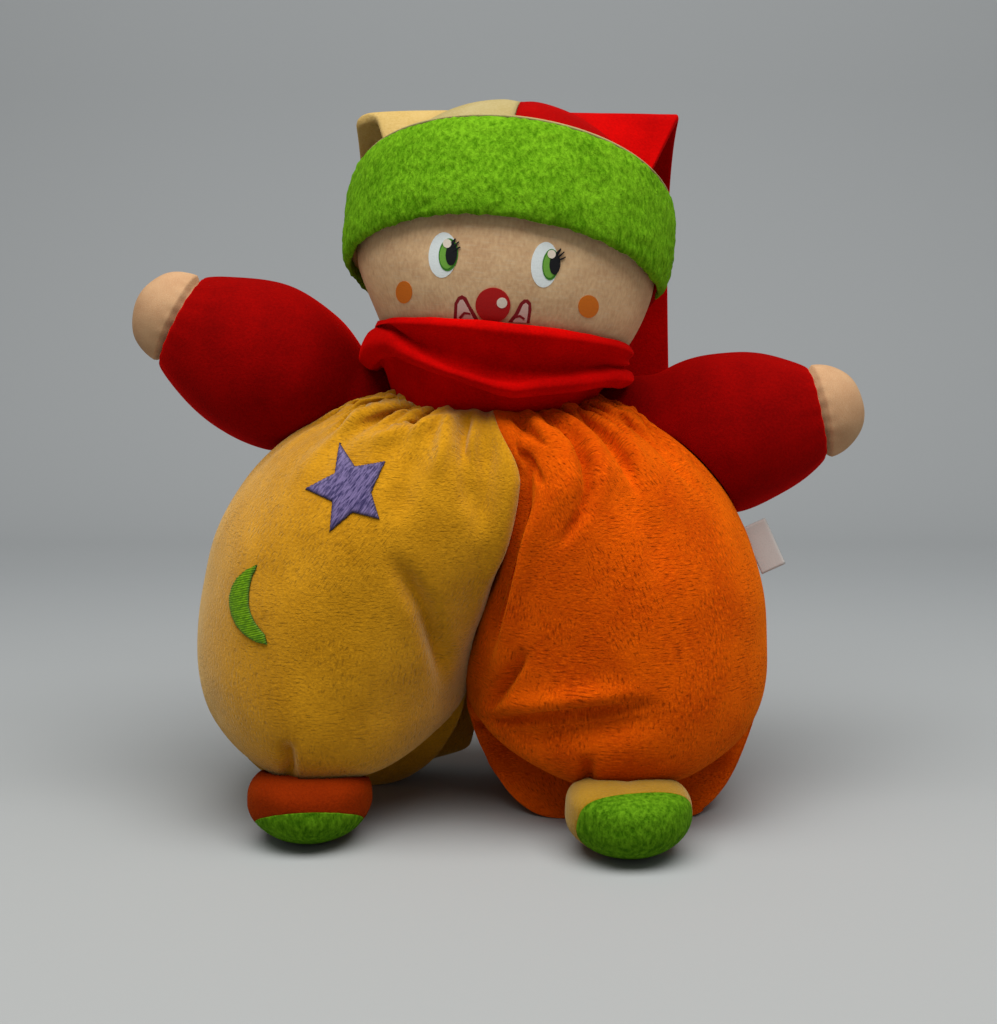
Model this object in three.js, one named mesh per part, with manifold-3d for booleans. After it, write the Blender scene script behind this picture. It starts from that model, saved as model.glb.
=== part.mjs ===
// Clown comforter toy: a stuffed velour doll in a two-colour romper, with a nightcap, a cowl scarf,
// puffed sleeves, knitted hands and soft feet. Millimetres, +Z up, the face looks along -Y.
// Every sewn cover is a thin shell of cloth round its own wad of fibre filling.
import * as THREE from 'three';
import { mergeVertices } from 'three/addons/utils/BufferGeometryUtils.js';
import Module from 'manifold-3d';

const wasm = await Module();
wasm.setup();

// Cloth and clearances
const CLOTH = 1.5;
const GAP = 0.35;
const FILLING_GAP = 0.7;
const SEAM_OPENING = 8;

// Romper body, measured from the neck axis and the floor
const NECK_RADIUS = 24;
const NECK_TOP = 136.5;
const SHOULDER_HEIGHT = 134.5;
const WIDEST_HEIGHT = 51;
const CROTCH_HEIGHT = 41;
const CROTCH_X = -9;
const SEAM_TOP_X = 7;
const SEAM_TOP_HEIGHT = 113;
const BELLY_DEPTH = 56;
const BELLY_HEIGHT = 69;
const BACK_DEPTH = 50;
const RUMP_HEIGHT = 53;
const SEAT_BACK = 30;
const HEM_HEIGHT = 12;
const HEM_SILL = 3;
const SIDE_SEAM_STRAIGHT = 62;
const SEAM_VALLEY = 0.9;
const GATHER_LENGTH = 36;
const GATHER_DEPTH = 1.5;
const LEG_ROUND = 1.8;
const BELLY_ROUND = 2.3;
const CHEST_ROUND = 2.8;
const HALVES = {
  yellow: { sign: -1, reach: 98.5, legCentre: 56, seatHalf: 16, seatForward: -14, shoulderRound: 2.35 },
  orange: { sign: 1, reach: 92, legCentre: 41, seatHalf: 22, seatForward: 21, shoulderRound: 2.1 },
};

// Head and hat, about the head's own centre
const HEAD_RADIUS = 48.5;
const HEAD_RISE = 42;
const HEAD_ROLL = THREE.MathUtils.degToRad(5.5);
const HEAD_TURN = THREE.MathUtils.degToRad(-4);
const HAT_TILT = THREE.MathUtils.degToRad(25);
const CROWN_CLOTH = 2;
const CROWN_LOW = -4;
const CUFF_LOW = -10.5;
const CUFF_HIGH = 21.5;
const CUFF_RADIUS = 53.5;
const CUFF_EDGE_RADIUS = 51;
const CUFF_LIP = 1;
const CUFF_PROFILE = [[0.2, 0.6], [0.5, 0], [0.8, 0.3]];
const TAIL_CLOTH = 3;
const TAIL_LEFT = -49;
const TAIL_RIGHT = 58;
const TAIL_TIP_LEFT = 36;
const TAIL_TIP_RIGHT = 60;
const TAIL_SEAM = 12;
const TAIL_TIP_SEAM = 40;
const TAIL_STAND_OFF = 6;
const TAIL_FOLD_ANGLE = THREE.MathUtils.degToRad(24);
const TAIL_DROP = 42;
const TAIL_TAPER = 1.8;

// Cowl scarf, about the same centre
const SCARF_CLOTH = 3;
const SCARF_TOP = -26;
const SCARF_TOP_RISE = 6;
const SCARF_BOTTOM = -39.5;
const SCARF_SKEW = 2.5;
const SCARF_DIP = 4;
const SCARF_DIP_SPREAD = 0.5;
const SCARF_RADIUS = 42;
const SCARF_ROLL = 3;
const SCARF_EASE = 0.5;
const SCARF_SAG = 1;

// Neck gathering tape
const TAPE_THICKNESS = 1.2;

// Arms: the sleeve's radii, with shoulder and wrist points whose heights are from the romper's shoulder
const SLEEVE_SHOULDER_RADIUS = 18;
const SLEEVE_WRIST_RADIUS = 16.5;
const SLEEVE_SWELL = 10;
const SLEEVE_SWELL_POWER = 0.9;
const SLEEVE_ROOT_RADIUS = 9;
const SLEEVE_ROOT_LENGTH = 6;
const SLEEVE_DEPTH_SHARE = 0.92;
const HAND_RADIUS = 15.8;
const HAND_LENGTH = 16;
const HAND_TUCK = 4;
const HAND_LIP = 2;
const HAND_TIP_RADIUS = 1.8;
const ARMS = {
  yellow_side: { shoulder: [-49.5, 12, -1.5], wrist: [-104, 12, 26.5] },
  orange_side: { shoulder: [48, 12, -17.5], wrist: [108, 12, -4] },
};

// Feet: each is a soft oval pad with a sole patch facing along its own direction
const FOOT_HALF_WIDTH = 19.5;
const FOOT_HALF_LENGTH = 22;
const FOOT_HALF_HEIGHT = 13;
const FOOT_SINK = 0.5;
const FOOT_SWING = THREE.MathUtils.degToRad(25);
const FEET = {
  yellow_side: { x: -58, y: -39, soleFacing: [0.05, -0.45, -0.9], soleAt: 8, upper: 'orange' },
  orange_side: { x: 41.5, y: -52, soleFacing: [0.2, -0.9, -0.25], soleAt: 8, upper: 'yellow' },
};

// Embroidered patches and the sewn-in label
const PATCH_THICKNESS = 0.8;
const STAR_RADIUS = 13.7;
const STAR_WAIST = 6.2;
const STAR_TURN = THREE.MathUtils.degToRad(12.6);
const STAR_X = -45;
const STAR_HEIGHT = 111;
const MOON_HEIGHT = 25;
const MOON_OUTER_BULGE = 9;
const MOON_INNER_BULGE = 4;
const MOON_TURN = THREE.MathUtils.degToRad(9.5);
const MOON_X = -75;
const MOON_MIDDLE = 73;
const LABEL_WIDTH = 17;
const LABEL_LENGTH = 8.5;
const LABEL_THICKNESS = 0.8;
const LABEL_HEIGHT = 85;
const LABEL_STAND_OFF = 0.9;
const LABEL_LEAN = THREE.MathUtils.degToRad(25);

// Facets
const AROUND = 30;
const LIMB_AROUND = 20;
const INSIDE_AROUND = 18;
const QUARTER = 6;

const UP = new THREE.Vector3(0, 0, 1);
const FAR = 400;

const COLOURS = {
  yellow: 0xd9a648,
  orange: 0xe2710f,
  red: 0xa80a05,
  green: 0x6ea52c,
  skin: 0xd5b088,
  cream: 0xe9cf98,
  violet: 0x7b6bab,
  moon: 0x5f9f22,
  label: 0xe6e4e0,
  fibre: 0xf2f0ea,
};
const materials = Object.fromEntries(
  Object.entries(COLOURS).map(([name, color]) => [
    name,
    new THREE.MeshStandardMaterial({ name, color, roughness: 0.95, metalness: 0 }),
  ]),
);

// Solids from closed triangle meshes, and meshes from solids

function solidOf(geometry) {
  const bare = new THREE.BufferGeometry();
  bare.setAttribute('position', geometry.getAttribute('position'));
  bare.setIndex(geometry.index);
  const merged = mergeVertices(bare, 1e-4);
  const vertProperties = merged.getAttribute('position').array;
  const triVerts = new Uint32Array(merged.index.array);
  const made = new wasm.Manifold(new wasm.Mesh({ numProp: 3, vertProperties, triVerts }));
  if (made.volume() > 0) return made;
  const turned = triVerts.map((_, i) => triVerts[i - (i % 3) + 2 - (i % 3)]);
  return new wasm.Manifold(new wasm.Mesh({ numProp: 3, vertProperties, triVerts: turned }));
}

function meshOf(name, solid, material) {
  const { numProp, vertProperties, triVerts } = solid.getMesh();
  const count = vertProperties.length / numProp;
  const position = new Float32Array(count * 3);
  for (let i = 0; i < count; i++) {
    position.set(vertProperties.subarray(i * numProp, i * numProp + 3), i * 3);
  }
  const geometry = new THREE.BufferGeometry();
  geometry.setAttribute('position', new THREE.BufferAttribute(position, 3));
  geometry.setIndex(new THREE.BufferAttribute(triVerts, 1));
  geometry.computeVertexNormals();
  const mesh = new THREE.Mesh(geometry, material);
  mesh.name = name;
  return mesh;
}

// Joins rings of equal point count; closed rows wrap round, open rows get a fan at each end.
function loft(rings, closedRows = false) {
  const across = rings[0].length;
  const points = rings.flat();
  const index = [];
  const rows = closedRows ? rings.length : rings.length - 1;
  for (let j = 0; j < rows; j++) {
    const low = j * across;
    const high = ((j + 1) % rings.length) * across;
    for (let i = 0; i < across; i++) {
      const next = (i + 1) % across;
      index.push(low + i, low + next, high + next, low + i, high + next, high + i);
    }
  }
  if (!closedRows) {
    for (const [ring, forward] of [[0, false], [rings.length - 1, true]]) {
      const middle = new THREE.Vector3();
      rings[ring].forEach((p) => middle.addScaledVector(p, 1 / across));
      const hub = points.push(middle) - 1;
      for (let i = 0; i < across; i++) {
        const a = ring * across + i;
        const b = ring * across + ((i + 1) % across);
        index.push(hub, forward ? a : b, forward ? b : a);
      }
    }
  }
  const geometry = new THREE.BufferGeometry().setFromPoints(points);
  geometry.setIndex(index);
  return solidOf(geometry);
}

function ellipsoid(radii, around, up) {
  const geometry = new THREE.SphereGeometry(1, around, up);
  geometry.rotateX(Math.PI / 2);
  geometry.scale(...radii);
  return solidOf(geometry);
}

function ball(radius, around = AROUND) {
  return ellipsoid([radius, radius, radius], around, around / 2);
}

// A faceted ball whose flats, not its corners, stand at the radius.
function roomyBall(radius) {
  return ball(radius / Math.cos(Math.PI / AROUND) ** 2);
}

// A block so large that one face acts as a cutting plane through a point, with its normal outwards.
function behindPlane(point, normal) {
  const geometry = new THREE.BoxGeometry(FAR, FAR, FAR);
  geometry.translate(0, 0, -FAR / 2);
  const turn = new THREE.Quaternion().setFromUnitVectors(UP, normal.clone().normalize());
  geometry.applyQuaternion(turn);
  geometry.translate(point.x, point.y, point.z);
  return solidOf(geometry);
}

// Quarter of a superellipse: 1 at share 0, rounding down to 0 at share 1.
function rounded(share, power) {
  const s = THREE.MathUtils.clamp(share, 0, 1);
  return (1 - s ** power) ** (1 / power);
}

// A size that is wide at share 0 and rounds down to narrow at share 1.
function swell(narrow, wide, share, power) {
  return narrow + (wide - narrow) * rounded(share, power);
}

function spread(from, to, steps) {
  return Array.from({ length: steps + 1 }, (_, i) => from + ((to - from) * i) / steps);
}

// Romper body: two puffed halves that meet at the centre seam, each with its own leg

// The centre seam wanders across the belly, and ends in the middle of the neck.
function centreSeam(z) {
  const rise = THREE.MathUtils.smoothstep(z, CROTCH_HEIGHT, SEAM_TOP_HEIGHT);
  const end = THREE.MathUtils.smoothstep(z, SEAM_TOP_HEIGHT, SHOULDER_HEIGHT);
  return (CROTCH_X + (SEAM_TOP_X - CROTCH_X) * rise) * (1 - end);
}

function sideSeam(name, z) {
  const share = THREE.MathUtils.clamp(1 - z / SIDE_SEAM_STRAIGHT, 0, 1);
  return -HALVES[name].seatForward * share ** 2;
}

// The half's own sizes, drawn in by an inset or let out by a negative one; a hollow runs out at the neck.
function halfSizes(name, inset, hollow) {
  const { sign, reach, legCentre, seatHalf, shoulderRound } = HALVES[name];
  return {
    name,
    sign,
    legCentre,
    shoulderRound,
    reach: reach - inset,
    seatHalf: seatHalf - inset,
    seatBack: SEAT_BACK - inset,
    belly: BELLY_DEPTH - inset,
    back: BACK_DEPTH - inset,
    neck: NECK_RADIUS - inset,
    sill: Math.max(HEM_SILL - inset, GAP),
    floor: inset,
    hem: HEM_HEIGHT + inset,
    shoulder: SHOULDER_HEIGHT - inset,
    top: hollow ? NECK_TOP + FAR : NECK_TOP - inset,
    crotch: CROTCH_HEIGHT + 2 * Math.max(inset, 0),
    inset,
    seamGap: GAP / 2 + inset,
  };
}

// How far a half reaches at one height: outwards, to the centre seam, and before and behind the side seam.
function ringEdges(size, z) {
  const { sign, legCentre, neck, shoulder, floor, crotch, hem } = size;
  const seam = sideSeam(size.name, z);
  const below = (height, from) => 1 - (z - from) / (height - from);
  const above = (height) => (z - height) / (shoulder - height);
  const outer = z < WIDEST_HEIGHT
    ? swell(legCentre + size.seatHalf, size.reach, below(WIDEST_HEIGHT, floor), LEG_ROUND)
    : swell(neck, size.reach, above(WIDEST_HEIGHT), size.shoulderRound);
  const inner = z < crotch
    ? swell(legCentre - size.seatHalf, sign * CROTCH_X + size.seamGap, below(crotch, floor), LEG_ROUND)
    : sign * centreSeam(z) + size.seamGap;
  const joined = THREE.MathUtils.clamp(above(crotch), 0, 1);
  const centre = inner + (legCentre - inner) * (1 - joined ** 2);
  const front = z < BELLY_HEIGHT
    ? swell(size.sill, size.belly + seam, below(BELLY_HEIGHT, hem), BELLY_ROUND)
    : swell(neck, size.belly, above(BELLY_HEIGHT), CHEST_ROUND) + seam;
  const back = z < RUMP_HEIGHT
    ? swell(size.seatBack, size.back, below(RUMP_HEIGHT, floor), LEG_ROUND) - seam
    : swell(neck, size.back, above(RUMP_HEIGHT), CHEST_ROUND) - seam;
  const kept = SEAM_VALLEY * (1 - (1 - joined) ** 2);
  const frontValley = Math.max(front * kept, GAP);
  const backValley = Math.max(back * kept, GAP);
  return { sign, seam, outer, centre, inner, front, back, frontValley, backValley };
}

// One level of a half. Below the neck every second point of the outer arcs is drawn in, as the
// gathered cloth is; a coarser hollow stays smooth.
function lobeRing(size, z, quarter) {
  const e = ringEdges(size, z);
  const { shoulder } = size;
  const gather = GATHER_DEPTH * THREE.MathUtils.smoothstep(z, shoulder - GATHER_LENGTH, shoulder);
  const angles = spread(0, Math.PI / 2, quarter);
  const arcs = [
    (a) => [e.centre + (e.outer - e.centre) * Math.cos(a), -e.front * Math.sin(a)],
    (a) => [
      e.centre - (e.centre - e.inner) * Math.sin(a),
      -e.frontValley - (e.front - e.frontValley) * Math.cos(a),
    ],
    (a) => [
      e.centre - (e.centre - e.inner) * Math.cos(a),
      e.backValley + (e.back - e.backValley) * Math.sin(a),
    ],
    (a) => [e.centre + (e.outer - e.centre) * Math.sin(a), e.back * Math.cos(a)],
  ];
  return arcs.flatMap((arc, k) => angles.flatMap((a, i) => {
    const repeated = i === 0 && k % 2 === 1;
    const closing = i === quarter && k === 3;
    if (repeated || closing) return [];
    const [x, y] = arc(a);
    const point = new THREE.Vector3(e.sign * x, e.seam + y, 0);
    const outerArc = k === 0 || k === 3;
    if (outerArc && i % 2 === 1 && quarter === QUARTER) point.setLength(point.length() - gather);
    return [point.setZ(z)];
  }));
}

// Heights crowd together where the form turns in: at the seat, the hem and the shoulder.
function lobe(name, inset = 0, { quarter = QUARTER, fine = 1, hollow = false } = {}) {
  const size = halfSizes(name, inset, hollow);
  const seat = spread(size.floor, size.hem, 2 * fine);
  const belly = spread(0, 1, 3 * fine).slice(1)
    .map((s) => size.hem + (WIDEST_HEIGHT - size.hem) * s ** 2);
  const chest = spread(0, 1, 4 * fine).slice(1)
    .map((s) => WIDEST_HEIGHT + (size.shoulder - WIDEST_HEIGHT) * Math.sin((s * Math.PI) / 2));
  const heights = [...seat, ...belly, ...chest, size.top];
  return loft(heights.map((z) => lobeRing(size, z, quarter)));
}

// Everything in front of the side seam, or behind it.
function sideOfSeam(name, front) {
  const outline = spread(-FAR, 0, 1).concat(spread(0, SIDE_SEAM_STRAIGHT, 6).slice(1), [FAR]);
  const edge = outline.map((z) => {
    const y = sideSeam(name, Math.max(z, 0)) + (front ? -GAP / 2 : GAP / 2);
    return new THREE.Vector2(y, z);
  });
  const far = front ? -FAR : FAR;
  const shape = new THREE.Shape([...edge, new THREE.Vector2(far, FAR), new THREE.Vector2(far, -FAR)]);
  const geometry = new THREE.ExtrudeGeometry(shape, { depth: FAR, bevelEnabled: false });
  geometry.translate(0, 0, -FAR / 2);
  geometry.applyMatrix4(new THREE.Matrix4().makeBasis(
    new THREE.Vector3(0, 1, 0),
    new THREE.Vector3(0, 0, 1),
    new THREE.Vector3(1, 0, 0),
  ));
  return solidOf(geometry);
}

// The two halves' hollows, and the way between them through the open centre seam.
function insideBody(inset) {
  const coarse = { quarter: QUARTER / 2, hollow: true };
  const heights = spread(CROTCH_HEIGHT + SEAM_OPENING, SHOULDER_HEIGHT - 2 * SEAM_OPENING, 4);
  const sizes = Object.keys(HALVES).map((name) => halfSizes(name, inset, true));
  const depth = (z, side) => Math.min(...sizes.map((size) => {
    const edges = ringEdges(size, z);
    return side < 0 ? edges.frontValley - edges.seam : edges.backValley + edges.seam;
  })) - inset;
  const opening = heights.map((z) => [[-1, -1], [1, -1], [1, 1], [-1, 1]].map(([x, side]) => (
    new THREE.Vector3(centreSeam(z) + (x * SEAM_OPENING) / 2, side * depth(z, side), z)
  )));
  return lobe('yellow', inset, coarse).add(lobe('orange', inset, coarse)).add(loft(opening));
}

const cavity = insideBody(CLOTH);
const stuffed = {
  yellow: lobe('yellow', 0, { fine: 2 }),
  orange: lobe('orange', 0, { fine: 2 }),
};
const besideBody = lobe('yellow', -GAP, { fine: 2 }).add(lobe('orange', -GAP, { fine: 2 }));

function makeRomper() {
  const group = new THREE.Group();
  for (const name of Object.keys(HALVES)) {
    const cover = stuffed[name].subtract(cavity);
    for (const [place, front] of [['front', true], ['back', false]]) {
      const panel = cover.intersect(sideOfSeam(name, front));
      group.add(meshOf(`body_${place}_${name}`, panel, materials[name]));
    }
  }
  const filling = insideBody(CLOTH + FILLING_GAP)
    .intersect(behindPlane(new THREE.Vector3(0, 0, SHOULDER_HEIGHT - CLOTH - 2 * FILLING_GAP), UP));
  group.add(meshOf('body_filling', filling, materials.fibre));
  return group;
}

// Embroidered star and moon: their outlines, pushed through a thin layer over the yellow belly

function patch(name, shape, x, z, material) {
  const geometry = new THREE.ExtrudeGeometry(shape, { depth: FAR, bevelEnabled: false });
  geometry.rotateX(Math.PI / 2);
  geometry.translate(x, 0, z);
  const over = lobe('yellow', -GAP - PATCH_THICKNESS, { fine: 2 });
  const under = lobe('yellow', -GAP, { fine: 2 });
  return meshOf(name, solidOf(geometry).intersect(over).subtract(under), material);
}

function starShape() {
  const points = Array.from({ length: 10 }, (_, i) => {
    const radius = i % 2 ? STAR_WAIST : STAR_RADIUS;
    const angle = Math.PI / 2 + STAR_TURN + (i * Math.PI) / 5;
    return new THREE.Vector2(radius * Math.cos(angle), radius * Math.sin(angle));
  });
  return new THREE.Shape(points);
}

// Two arcs through the same tips, bulging to the left by different amounts.
function moonShape() {
  const half = MOON_HEIGHT / 2;
  const arc = (bulge) => {
    const radius = (half ** 2 + bulge ** 2) / (2 * bulge);
    const opening = Math.asin(half / radius);
    const centre = radius - bulge;
    return spread(-opening, opening, QUARTER).map((a) => {
      const along = new THREE.Vector2(centre - radius * Math.cos(a), radius * Math.sin(a));
      return along.rotateAround(new THREE.Vector2(), MOON_TURN);
    });
  };
  const outside = arc(MOON_OUTER_BULGE);
  const inside = arc(MOON_INNER_BULGE).slice(1, -1).reverse();
  return new THREE.Shape([...outside, ...inside]);
}

// Label: a folded white ribbon caught in the side seam on the orange half

function makeLabel() {
  const root = ringEdges(halfSizes('orange', 0, false), LABEL_HEIGHT).outer + LABEL_STAND_OFF;
  const geometry = new THREE.BoxGeometry(LABEL_LENGTH, LABEL_THICKNESS, LABEL_WIDTH);
  geometry.translate(LABEL_LENGTH / 2, 0, 0);
  const label = meshOf('label', solidOf(geometry), materials.label);
  label.position.set(root, 0, LABEL_HEIGHT);
  label.rotation.y = -LABEL_LEAN;
  return label;
}

// Neck tape: a narrow band that draws in the gathered neck

function makeNeckTape() {
  const inside = NECK_RADIUS + GAP;
  const low = SHOULDER_HEIGHT + GAP;
  const section = [
    [inside, low],
    [inside + TAPE_THICKNESS, low],
    [inside + TAPE_THICKNESS, NECK_TOP],
    [inside, NECK_TOP],
  ];
  return meshOf('neck_tape', hoop(() => section), materials.red);
}

// A ring whose section, a loop of [radius, height] points, may change with the angle from the front.
function hoop(sectionAt, around = AROUND) {
  const rings = Array.from({ length: around }, (_, i) => {
    const angle = (i * 2 * Math.PI) / around;
    const out = new THREE.Vector3(Math.sin(angle), -Math.cos(angle), 0);
    return sectionAt(angle).map(([r, z]) => out.clone().multiplyScalar(r).setZ(z));
  });
  return loft(rings, true);
}

// Head: a ball of knitted jersey, open at the neck

const neckPlane = new THREE.Vector3(0, 0, -HEAD_RISE);
const aboveNeck = behindPlane(neckPlane, UP.clone().negate());

function makeHead() {
  const group = new THREE.Group();
  const hollow = ball(HEAD_RADIUS - CLOTH, INSIDE_AROUND);
  const cover = ball(HEAD_RADIUS).subtract(hollow).intersect(aboveNeck);
  const filling = ball(HEAD_RADIUS - CLOTH - FILLING_GAP, INSIDE_AROUND).intersect(aboveNeck);
  group.add(meshOf('head_cover', cover, materials.skin));
  group.add(meshOf('head_filling', filling, materials.fibre));
  return group;
}

// Hat: a two-colour dome with a deep turned-up cuff, tilted back on the head

function makeHat() {
  const group = new THREE.Group();
  const inside = HEAD_RADIUS + GAP;
  const dome = roomyBall(inside + CROWN_CLOTH).subtract(roomyBall(inside))
    .intersect(behindPlane(new THREE.Vector3(0, 0, CROWN_LOW), UP.clone().negate()));
  const sides = [['cream', -1], ['red', 1]];
  for (const [name, sign] of sides) {
    const half = behindPlane(new THREE.Vector3((sign * GAP) / 2, 0, 0), new THREE.Vector3(-sign, 0, 0));
    group.add(meshOf(`hat_crown_${name}`, dome.intersect(half), materials[name]));
  }
  const seat = (inside + CROWN_CLOTH + 2 * GAP) / Math.cos(Math.PI / AROUND) ** 2;
  const onCrown = (z) => [Math.sqrt(seat ** 2 - z ** 2), z];
  const cuff = [
    ...spread(CUFF_HIGH - CUFF_LIP, CUFF_LOW + CUFF_LIP, 5).map(onCrown),
    [CUFF_EDGE_RADIUS + CUFF_LIP, CUFF_LOW],
    ...CUFF_PROFILE.map(([share, drawnIn]) => (
      [CUFF_RADIUS - drawnIn, CUFF_LOW + share * (CUFF_HIGH - CUFF_LOW)]
    )),
    [CUFF_EDGE_RADIUS, CUFF_HIGH],
  ];
  group.add(meshOf('hat_cuff', hoop(() => cuff), materials.green));
  return group;
}

// Tail of the nightcap: a flat double layer, folded over behind the crown and hanging to a blunt tip

function tailPath() {
  const top = HEAD_RADIUS + GAP + CROWN_CLOTH + GAP + TAIL_CLOTH / 2;
  const low = CUFF_RADIUS + TAIL_STAND_OFF;
  const turn = spread(TAIL_FOLD_ANGLE, Math.PI / 2, 6).map((a) => {
    const share = (a - TAIL_FOLD_ANGLE) / (Math.PI / 2 - TAIL_FOLD_ANGLE);
    const radius = top + (low - top) * share;
    return new THREE.Vector2(radius * Math.sin(a), radius * Math.cos(a));
  });
  return [...turn, ...spread(0, -TAIL_DROP, 3).slice(1).map((z) => new THREE.Vector2(low, z))];
}

function makeTail() {
  const group = new THREE.Group();
  const path = tailPath();
  const part = (name, leftTop, leftTip, rightTop, rightTip) => {
    const rings = path.map((p, i) => {
      const share = i / (path.length - 1);
      const before = path[Math.max(i - 1, 0)];
      const after = path[Math.min(i + 1, path.length - 1)];
      const along = after.clone().sub(before).normalize();
      const out = new THREE.Vector2(-along.y, along.x).multiplyScalar(TAIL_CLOTH / 2);
      const left = leftTop + (leftTip - leftTop) * share ** TAIL_TAPER;
      const right = rightTop + (rightTip - rightTop) * share ** TAIL_TAPER;
      return [[left, 1], [right, 1], [right, -1], [left, -1]].map(
        ([x, side]) => new THREE.Vector3(x, p.x + side * out.x, p.y + side * out.y),
      );
    });
    group.add(meshOf(`hat_tail_${name}`, loft(rings), materials[name]));
  };
  part('cream', TAIL_LEFT, TAIL_TIP_LEFT, TAIL_SEAM - GAP / 2, TAIL_TIP_SEAM - GAP / 2);
  part('red', TAIL_SEAM + GAP / 2, TAIL_TIP_SEAM + GAP / 2, TAIL_RIGHT, TAIL_TIP_RIGHT);
  return group;
}

// Scarf: a cowl of one cloth band, snug under the chin, with a rolled hem that dips at the front

function scarfSection(angle) {
  const facing = Math.cos(angle);
  const top = SCARF_TOP + SCARF_TOP_RISE * facing;
  const fromFront = Math.min(angle, 2 * Math.PI - angle);
  const dip = SCARF_DIP * Math.exp(-((fromFront / SCARF_DIP_SPREAD) ** 2));
  const bottom = SCARF_BOTTOM + SCARF_SKEW * Math.sin(angle) - dip;
  const chin = Math.sqrt((HEAD_RADIUS + 2 * GAP) ** 2 - top ** 2);
  const waist = (top + bottom) / 2;
  return [
    [chin, top],
    [chin + SCARF_CLOTH, top],
    [chin + SCARF_CLOTH + SCARF_EASE, waist],
    [SCARF_RADIUS - SCARF_ROLL / 3, bottom + 2 * SCARF_ROLL],
    [SCARF_RADIUS + SCARF_ROLL, bottom + SCARF_ROLL],
    [SCARF_RADIUS, bottom],
    [SCARF_RADIUS - SCARF_ROLL, bottom + SCARF_ROLL / 2],
    [chin - SCARF_SAG, waist - SCARF_SAG],
  ];
}

// Arms: puffed sleeves with a knitted hand tucked into each wrist

function armFrame({ shoulder, wrist }) {
  const from = new THREE.Vector3(...shoulder).addScaledVector(UP, SHOULDER_HEIGHT);
  const to = new THREE.Vector3(...wrist).addScaledVector(UP, SHOULDER_HEIGHT);
  const along = to.clone().sub(from).normalize();
  const depth = new THREE.Vector3(0, 1, 0);
  const across = new THREE.Vector3().crossVectors(depth, along).normalize();
  return { from, along, across, depth, length: from.distanceTo(to) };
}

function armRing(frame, distance, radius, steps) {
  const middle = frame.from.clone().addScaledVector(frame.along, distance);
  return Array.from({ length: steps }, (_, i) => {
    const angle = (i * 2 * Math.PI) / steps;
    return middle.clone()
      .addScaledVector(frame.across, radius * Math.cos(angle))
      .addScaledVector(frame.depth, radius * SLEEVE_DEPTH_SHARE * Math.sin(angle));
  });
}

function sleeveForm(frame, inset, steps, rows, beyond = 0) {
  const rings = spread(0, 1, rows).map((t) => {
    const straight = SLEEVE_SHOULDER_RADIUS + (SLEEVE_WRIST_RADIUS - SLEEVE_SHOULDER_RADIUS) * t;
    const swelling = SLEEVE_SWELL * Math.sin(Math.PI * t) ** SLEEVE_SWELL_POWER;
    return armRing(frame, frame.length * t, straight + swelling - inset, steps);
  });
  const root = armRing(frame, inset - SLEEVE_ROOT_LENGTH, SLEEVE_ROOT_RADIUS, steps);
  const end = armRing(frame, frame.length + beyond, SLEEVE_WRIST_RADIUS - inset, steps);
  return loft(beyond ? [root, ...rings, end] : [root, ...rings]);
}

function handForm(frame, inset, steps) {
  const wrist = frame.length;
  const throat = SLEEVE_WRIST_RADIUS - CLOTH - GAP - inset;
  const palm = HAND_RADIUS - inset;
  const reach = HAND_LENGTH - inset;
  const dome = spread(0, Math.PI / 2, 4).slice(0, -1).map((a) => {
    const distance = wrist + GAP * 2 + HAND_LIP + (reach - HAND_LIP) * Math.sin(a);
    return armRing(frame, distance, palm * Math.cos(a), steps);
  });
  return loft([
    armRing(frame, wrist - HAND_TUCK + inset, throat, steps),
    armRing(frame, wrist + GAP, throat, steps),
    ...dome,
    armRing(frame, wrist + reach + GAP * 2, HAND_TIP_RADIUS, steps),
  ]);
}

const scarfSolid = hoop(scarfSection);

// The scarf's whole outer form, let out a little, which the sleeves keep clear of.
function besideScarf() {
  const facingOut = [1, 2, 3, 4, 5];
  const rings = facingOut.map((k) => Array.from({ length: AROUND }, (_, i) => {
    const angle = (i * 2 * Math.PI) / AROUND;
    const [r, z] = scarfSection(angle)[k];
    const out = new THREE.Vector3(Math.sin(angle), -Math.cos(angle), 0);
    return out.multiplyScalar(r + GAP * 2).setZ(k === facingOut[0] ? z + GAP * 2 : z);
  }));
  return loft(rings);
}

function makeArm(name, arm, clear) {
  const group = new THREE.Group();
  const frame = armFrame(arm);
  const steps = LIMB_AROUND;
  const hollow = sleeveForm(frame, CLOTH, steps, 6, HAND_TUCK);
  const sleeve = sleeveForm(frame, 0, steps, 9).subtract(hollow).subtract(clear);
  const hand = handForm(frame, 0, steps);
  const throat = SLEEVE_WRIST_RADIUS - 2 * CLOTH - GAP;
  const mouth = [frame.length - 2 * HAND_TUCK, frame.length + GAP];
  const palm = handForm(frame, CLOTH, steps / 2)
    .add(loft(mouth.map((distance) => armRing(frame, distance, throat, steps / 2))));
  const behindHand = frame.from.clone().addScaledVector(frame.along, frame.length - HAND_TUCK - GAP);
  const filling = sleeveForm(frame, CLOTH + FILLING_GAP, steps / 2, 5)
    .intersect(behindPlane(behindHand, frame.along))
    .subtract(clear);
  group.add(meshOf(`sleeve_${name}`, sleeve, materials.red));
  group.add(meshOf(`hand_${name}`, hand.subtract(palm), materials.skin));
  group.add(meshOf(`arm_filling_${name}`, filling, materials.fibre));
  return group;
}

// Feet: an oval pad under each leg, cut to stay clear of the leg through its swing

function footPivot(foot) {
  return new THREE.Vector3(foot.x, foot.y + FOOT_HALF_LENGTH, HEM_HEIGHT);
}

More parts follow.
